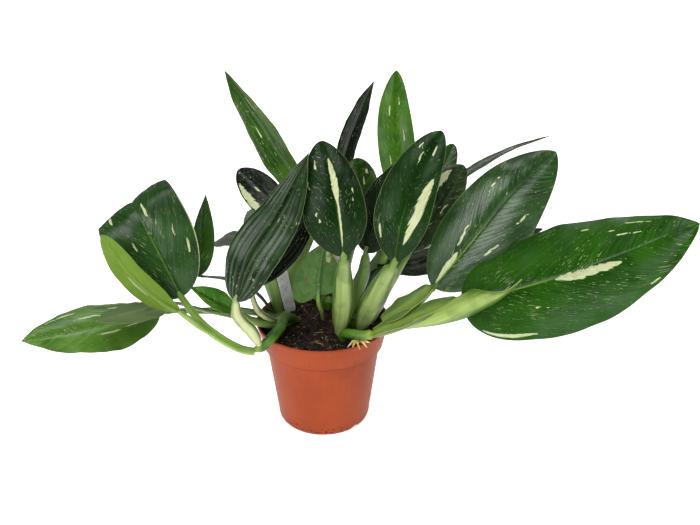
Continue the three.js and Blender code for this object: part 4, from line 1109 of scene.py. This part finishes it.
def plant_label(name, foot, top, faces):
    """A blank plate: a grid from foot to top with quarter-round upper corners, split to both its faces."""
    length = np.linalg.norm(np.subtract(top, foot)) * MM
    corner = LABEL["corner"]
    t = np.concatenate([np.linspace(0, 1 - corner / length, 30)[:-1],
                        1 - corner / length * np.cos(np.linspace(0, np.pi / 2, 12))])
    v = np.linspace(-1, 1, 9)
    centre, up, side = frames_along([foot, top], faces, t, 1)
    over = np.clip((t * length - (length - corner)) / corner, 0, 1)
    point = np.clip(t * length / LABEL["point"], 0.1, 1)
    width = (LABEL["half"] - corner * (1 - np.sqrt(np.maximum(1 - over**2, 0)))) * point
    bow = LABEL["bow"] * np.sin(np.pi * t)
    across = (width[:, None] * v)[..., None]
    middle = centre[:, None] + side[:, None] * across + (up * bow[:, None])[:, None]
    thick = LABEL["skin"]
    points = sandwich(middle + up[:, None] * thick, middle - up[:, None] * thick)
    piece = mesh_piece(name.replace("label_", "tag_"), points, shell_faces(len(t), len(v)),
                       materials=[LABEL_FINISH])
    take_part(piece, "label", name)


# ---- Pot and soil ----

def arc(centre, radius, start, end, count=7):
    """Points of a circle's arc, in degrees, as radius and height."""
    angle = np.radians(np.linspace(start, end, count))
    return [(centre[0] + radius * math.cos(a), centre[1] + radius * math.sin(a)) for a in angle]


def body_radius(z):
    """The pot's outer radius between its rounded foot and its collar."""
    share = (z - FOOT["height"]) / (BAND_FOOT - FOOT["height"])
    return FOOT["radius"] + (BODY_TOP_RADIUS - FOOT["radius"]) * share


def collar_radius(z):
    """The collar's outer radius, straight from its foot to the rim."""
    return BAND_FOOT_RADIUS + (RIM_RADIUS - BAND_FOOT_RADIUS) * (z - BAND_FOOT) / BAND_HEIGHT


def nursery_pot():
    """A turned profile: rounded foot, tapering body, a step out to the collar, and a rolled lip. The foot's
    notches are cut by arched blocks set round it."""
    lip_foot = POT_HEIGHT - LIP_HEIGHT
    swell = FOOT["radius"] - BASE_RADIUS
    profile = [(0, POT_HOLLOW), (BASE_RADIUS - FOOT_RING - 2 * MM, POT_HOLLOW), (BASE_RADIUS - FOOT_RING, 0),
               (BASE_RADIUS - 1.5 * MM, 0)]
    profile += [(BASE_RADIUS + swell * math.sin(a), FOOT["height"] * (1 - math.cos(a)))
                for a in np.linspace(0, np.pi / 2, 13)[:-1]]
    profile += [(body_radius(z), z) for z in np.linspace(FOOT["height"], BAND_FOOT - 2.6 * MM, 24)]
    profile += arc((BODY_TOP_RADIUS + 1.2 * MM, BAND_FOOT - 1.4 * MM), 1.4 * MM, 180, 110, 5)
    profile += arc((BAND_FOOT_RADIUS - 0.9 * MM, BAND_FOOT + 0.9 * MM), 0.9 * MM, -90, -8, 6)
    profile += [(collar_radius(z) - LIP_STEP * 0.6, z)
                for z in np.linspace(BAND_FOOT + 2 * MM, lip_foot - 0.5 * MM, 10)]
    profile += [(collar_radius(lip_foot) - LIP_STEP * 0.7, lip_foot - 0.2 * MM)]
    profile += arc((collar_radius(lip_foot) - 0.6 * MM, lip_foot + 0.75 * MM), 0.75 * MM, -70, 0, 5)
    profile += arc((RIM_RADIUS - LIP_ROLL, POT_HEIGHT - LIP_ROLL), LIP_ROLL, 0, 150, 13)
    inside = len(profile)
    profile += [(collar_radius(z) - WALL, z) for z in np.linspace(POT_HEIGHT - 3 * MM, BAND_FOOT + WALL, 10)]
    profile += [(body_radius(z) - WALL, z) for z in np.linspace(BAND_FOOT - WALL, FOOT["height"], 12)]
    profile += [(BASE_RADIUS - WALL - 1 * MM, WALL), (0, WALL)]
    kinds = np.zeros(len(profile), int)
    kinds[inside - 2:] = 1
    pot = lathe("nursery_pot", profile, POT_SIDES, [POT_FINISH, POT_INSIDE_FINISH], kinds)
    cutter = notch_cutters()
    cut = pot.modifiers.new("notches", "BOOLEAN")
    cut.operation, cut.object, cut.solver = "DIFFERENCE", cutter, "EXACT"
    bpy.context.view_layer.update()
    done = bpy.data.meshes.new_from_object(pot.evaluated_get(bpy.context.evaluated_depsgraph_get()))
    pot.modifiers.clear()
    pot.data = done
    pot.data.shade_smooth()
    pot.data.set_sharp_from_angle(angle=math.radians(35))
    bpy.data.objects.remove(cutter)
    take_part(pot, "pot", "pot")


def notch_cutters():
    """Arched blocks: an outline with upright sides and a half-ellipse top, carried from inside to outside."""
    half, height = NOTCH["width"] / 2, NOTCH["height"]
    turn = np.linspace(0, np.pi, 17)
    outline = np.stack([half * np.cos(turn), height * (0.35 + 0.65 * np.sin(turn))], 1)
    outline = np.vstack([[half, -2 * MM], outline, [-half, -2 * MM]])
    rings, faces, count = [], [], len(outline)
    for k in range(NOTCH_COUNT):
        angle = k / NOTCH_COUNT * 2 * np.pi + np.radians(NOTCH_START)
        out = np.array([math.cos(angle), math.sin(angle), 0])
        side = np.array([-math.sin(angle), math.cos(angle), 0])
        for radius in (BASE_RADIUS - NOTCH["depth"] / 2, BASE_RADIUS + 5 * MM):
            rings.append(out * radius + outline[:, :1] * side + outline[:, 1:] * np.array([0, 0, 1]))
        near = list(range(2 * k * count, 2 * k * count + count))
        far = [corner + count for corner in near]
        faces += [near[::-1], far]
        faces += [[near[i], near[i + 1 - count], far[i + 1 - count], far[i]] for i in range(count)]
    mesh = bpy.data.meshes.new("notches")
    mesh.from_pydata(np.vstack(rings).tolist(), [], faces)
    mesh.update()
    cutter = bpy.data.objects.new("notches", mesh)
    bpy.context.scene.collection.objects.link(cutter)
    return cutter


def inside_radius(z):
    """The pot's inner radius at height z, less a thin gap."""
    chamfer = BASE_RADIUS + (FOOT["radius"] - BASE_RADIUS) * z / FOOT["height"]
    body = np.minimum(body_radius(z), chamfer)
    return float(np.where(z < BAND_FOOT, body, collar_radius(z))) - WALL - 0.25 * MM


def soil_height(x, y):
    """Height of the soil's top: its level, plus noise of four sizes, and a little higher at the wall."""
    points = np.stack([x, y, 0 * x], -1)
    relief = sum(height * bumps(points, size * MM, shift) for height, size, shift in SOIL_RELIEF)
    wall = smooth(np.hypot(x, y), 48 * MM, 58 * MM)
    return SOIL_LEVEL + (relief * (1 - 0.4 * wall) - 0.4 + 1.2 * wall) * MM


def soil_body():
    """The peat: a disc of rings whose height is the soil's relief, then down the pot's wall to its foot."""
    radius = np.linspace(0, 1, SOIL_RINGS)[1:] * inside_radius(SOIL_LEVEL)
    angle = even_turn(SOIL_SECTORS)
    x, y = radius[:, None] * np.cos(angle), radius[:, None] * np.sin(angle)
    top = np.stack([x, y, soil_height(x, y)], -1)[::-1]
    down = []
    for z in (70 * MM, 40 * MM, SOIL_FOOT):
        r = inside_radius(z)
        down.append(np.stack([r * np.cos(angle), r * np.sin(angle), 0 * angle + z], -1))
    rows = np.concatenate([np.array(down[::-1]), top])
    points = np.vstack([rows.reshape(-1, 3), [0, 0, SOIL_FOOT], [0, 0, float(soil_height(0.0, 0.0))]])
    quads = grid_faces(len(rows), SOIL_SECTORS, closed=True)
    piece = mesh_piece("peat", points, quads, end_fans(len(rows), SOIL_SECTORS), materials=[SOIL_FINISH])
    take_part(piece, "soil", "soil")


def scattered(rng, count, edge):
    """Places on the soil out to that radius, evenly over its area, each with its height."""
    r = edge * np.sqrt(rng.random(count))
    angle = rng.random(count) * 2 * np.pi
    x, y = r * np.cos(angle), r * np.sin(angle)
    return np.stack([x, y, soil_height(x, y)], 1)


def soil_fibres():
    """Loose fibres: each a thin three-sided tube along a shallow arc, laid on the soil at its own angle."""
    rng = np.random.default_rng(21)
    place = scattered(rng, FIBRE_COUNT, SOIL_EDGE - 1 * MM)
    length = (2.5 + 11 * rng.random(FIBRE_COUNT) ** 2) * MM
    heading = rng.random(FIBRE_COUNT) * 2 * np.pi
    bend = (rng.random(FIBRE_COUNT) - 0.5) * 3.4
    thick = (0.13 + 0.16 * rng.random(FIBRE_COUNT) ** 2) * MM
    tilt = (rng.random(FIBRE_COUNT) - 0.35) * 0.5
    u = np.linspace(-0.5, 0.5, FIBRE_RINGS)
    turned = heading[:, None] + bend[:, None] * u
    step = length[:, None] / (FIBRE_RINGS - 1)
    flat = np.stack([np.cos(turned) * step, np.sin(turned) * step, np.sin(tilt)[:, None] * step + 0 * u], -1)
    path = place[:, None] + np.cumsum(flat, axis=1) - flat.sum(1, keepdims=True) / 2
    path[..., 2] += 0.35 * MM
    path[..., 2] = np.maximum(path[..., 2], soil_height(path[..., 0], path[..., 1]) + 0.1 * MM)
    side = np.stack([-np.sin(turned), np.cos(turned), 0 * turned], -1)
    taper = thick[:, None] * np.sqrt(1.05 - 4 * u**2)
    angle = even_turn(FIBRE_SIDES)
    ring = side[:, :, None] * np.cos(angle)[:, None] + np.array([0, 0, 1.0]) * np.sin(angle)[:, None]
    points = path[:, :, None] + ring * taper[:, :, None, None]
    quads = grid_faces(FIBRE_RINGS, FIBRE_SIDES, closed=True)
    count = FIBRE_RINGS * FIBRE_SIDES
    ends = np.array([[0, 2, 1], [count - 3, count - 2, count - 1]])
    base = (np.arange(FIBRE_COUNT) * count)[:, None, None]
    tone = np.repeat(rng.random(FIBRE_COUNT), count)
    piece = mesh_piece("peat_fibres", points.reshape(-1, 3), (quads[None] + base).reshape(-1, 4),
                       (ends[None] + base).reshape(-1, 3), fields={"tone": tone}, materials=[FIBRE_FINISH])
    take_part(piece, "soil")


def soil_crumbs(name, finish):
    """Crumbs: octahedra pulled out of shape, sitting in the soil's surface."""
    count, low, high, seed = CRUMBS[name]
    rng = np.random.default_rng(seed)
    place = scattered(rng, count, SOIL_EDGE)
    size = (low + (high - low) * rng.random(count) ** 2) * MM
    corners = np.array([[1, 0, 0], [0, 1, 0], [-1, 0, 0], [0, -1, 0], [0, 0, 1], [0, 0, -1]], float)
    edges = [(0, 1), (1, 2), (2, 3), (3, 0)] + [(k, end) for end in (4, 5) for k in range(4)]
    body = np.vstack([corners, unit(corners[np.array(edges)].sum(1))])
    middle = {frozenset(edge): len(corners) + k for k, edge in enumerate(edges)}
    faces = []
    for a, b, c in [(0, 1, 4), (1, 2, 4), (2, 3, 4), (3, 0, 4), (1, 0, 5), (2, 1, 5), (3, 2, 5), (0, 3, 5)]:
        ab, bc, ca = (middle[frozenset(edge)] for edge in ((a, b), (b, c), (c, a)))
        faces += [(a, ab, ca), (ab, b, bc), (ca, bc, c), (ab, bc, ca)]
    shape = body[None] * (0.65 + 0.7 * rng.random((count, len(body), 1)))
    shape = shape * (0.6 + 0.8 * rng.random((count, 1, 3)))
    angle = rng.random(count) * 2 * np.pi
    cos, sin = np.cos(angle)[:, None], np.sin(angle)[:, None]
    shape = np.stack([shape[..., 0] * cos - shape[..., 1] * sin, shape[..., 0] * sin + shape[..., 1] * cos,
                      shape[..., 2]], -1)
    points = place[:, None] + shape * size[:, None, None]
    base = (np.arange(count) * len(body))[:, None, None]
    tone = np.repeat(rng.random(count), len(body))
    triangles = (np.array(faces)[None] + base).reshape(-1, 3)
    piece = mesh_piece(name, points.reshape(-1, 3), np.zeros((0, 4), int), triangles,
                       fields={"tone": tone}, materials=[finish])
    take_part(piece, "soil")


# ---- Studio ----

def broad_light(name, azimuth, elevation, breadth, power):
    """An even light from far off, soft by its breadth in degrees. Azimuth 0 is in front of the plant."""
    light = bpy.data.lights.new(name, "SUN")
    light.angle, light.energy = math.radians(breadth), power
    lamp = bpy.data.objects.new(name, light)
    bpy.context.scene.collection.objects.link(lamp)
    lamp.rotation_euler = (math.radians(90 - elevation), 0, math.radians(azimuth))


def floor_and_wall():
    """A pale floor, and a ring of white wall far off that only the camera sees."""
    half, sides = FLOOR_HALF, STUDIO_WALL["sides"]
    corners = np.array([[-half, -half, 0], [half, -half, 0], [-half, half, 0], [half, half, 0]])
    floor = mesh_piece("studio_floor", corners, np.array([[0, 1, 3, 2]]), materials=[floor_finish()])
    angle = even_turn(sides)
    ring = STUDIO_WALL["radius"] * np.stack([np.cos(angle), np.sin(angle)], -1)
    rings = np.concatenate([np.c_[ring, 0 * angle], np.c_[ring, 0 * angle + STUDIO_WALL["height"]]])
    inward = grid_faces(2, sides, closed=True)[:, ::-1]
    wall = mesh_piece("studio_wall", rings, inward, materials=[wall_finish()])
    wall.visible_diffuse = wall.visible_glossy = wall.visible_shadow = False


def lights_and_camera():
    """An even white surround, three soft lights, and the camera in front of the plant, looking down on it."""
    world = bpy.data.worlds.new("studio_white")
    world.use_nodes = True
    glow = world.node_tree.nodes["Background"].inputs
    glow["Color"].default_value = (1, 1, 1, 1)
    glow["Strength"].default_value = WORLD_STRENGTH
    bpy.context.scene.world = world
    for name, (azimuth, elevation, breadth, power) in LIGHTS.items():
        broad_light(name, azimuth, elevation, breadth, power)
    bpy.context.scene.view_settings.view_transform = "Standard"
    lens = bpy.data.cameras.new("front_camera")
    lens.lens, lens.sensor_width = LENS, SENSOR
    camera = bpy.data.objects.new("front_camera", lens)
    camera.location = CAMERA_PLACE
    camera.rotation_euler = (math.radians(CAMERA_TILT), 0, 0)
    bpy.context.scene.collection.objects.link(camera)
    bpy.context.scene.camera = camera


# ---- The whole plant ----

floor_and_wall()
lights_and_camera()
nursery_pot()
soil_body()
soil_fibres()
soil_crumbs("peat_crumbs", CRUMB_FINISH)
soil_crumbs("mineral_grains", GRAIN_FINISH)
for order, (stem_name, stem_points) in enumerate(STEMS.items()):
    stem(stem_name, stem_points, order)
root_stubs()
for label_name, (foot, top, faces) in LABELS.items():
    plant_label(label_name, foot, top, faces)
for order, (leaf_name, row) in enumerate(LEAF_ROWS.items()):
    leaf_shape = dict(zip(LEAF_VALUES, row))
    leaf_look = {**PLAIN_LOOK, **LOOKS[leaf_name]}
    petiole(leaf_name, leaf_shape, leaf_look, order)
    blade(leaf_name, leaf_shape, leaf_look, order)
loose_sheath()
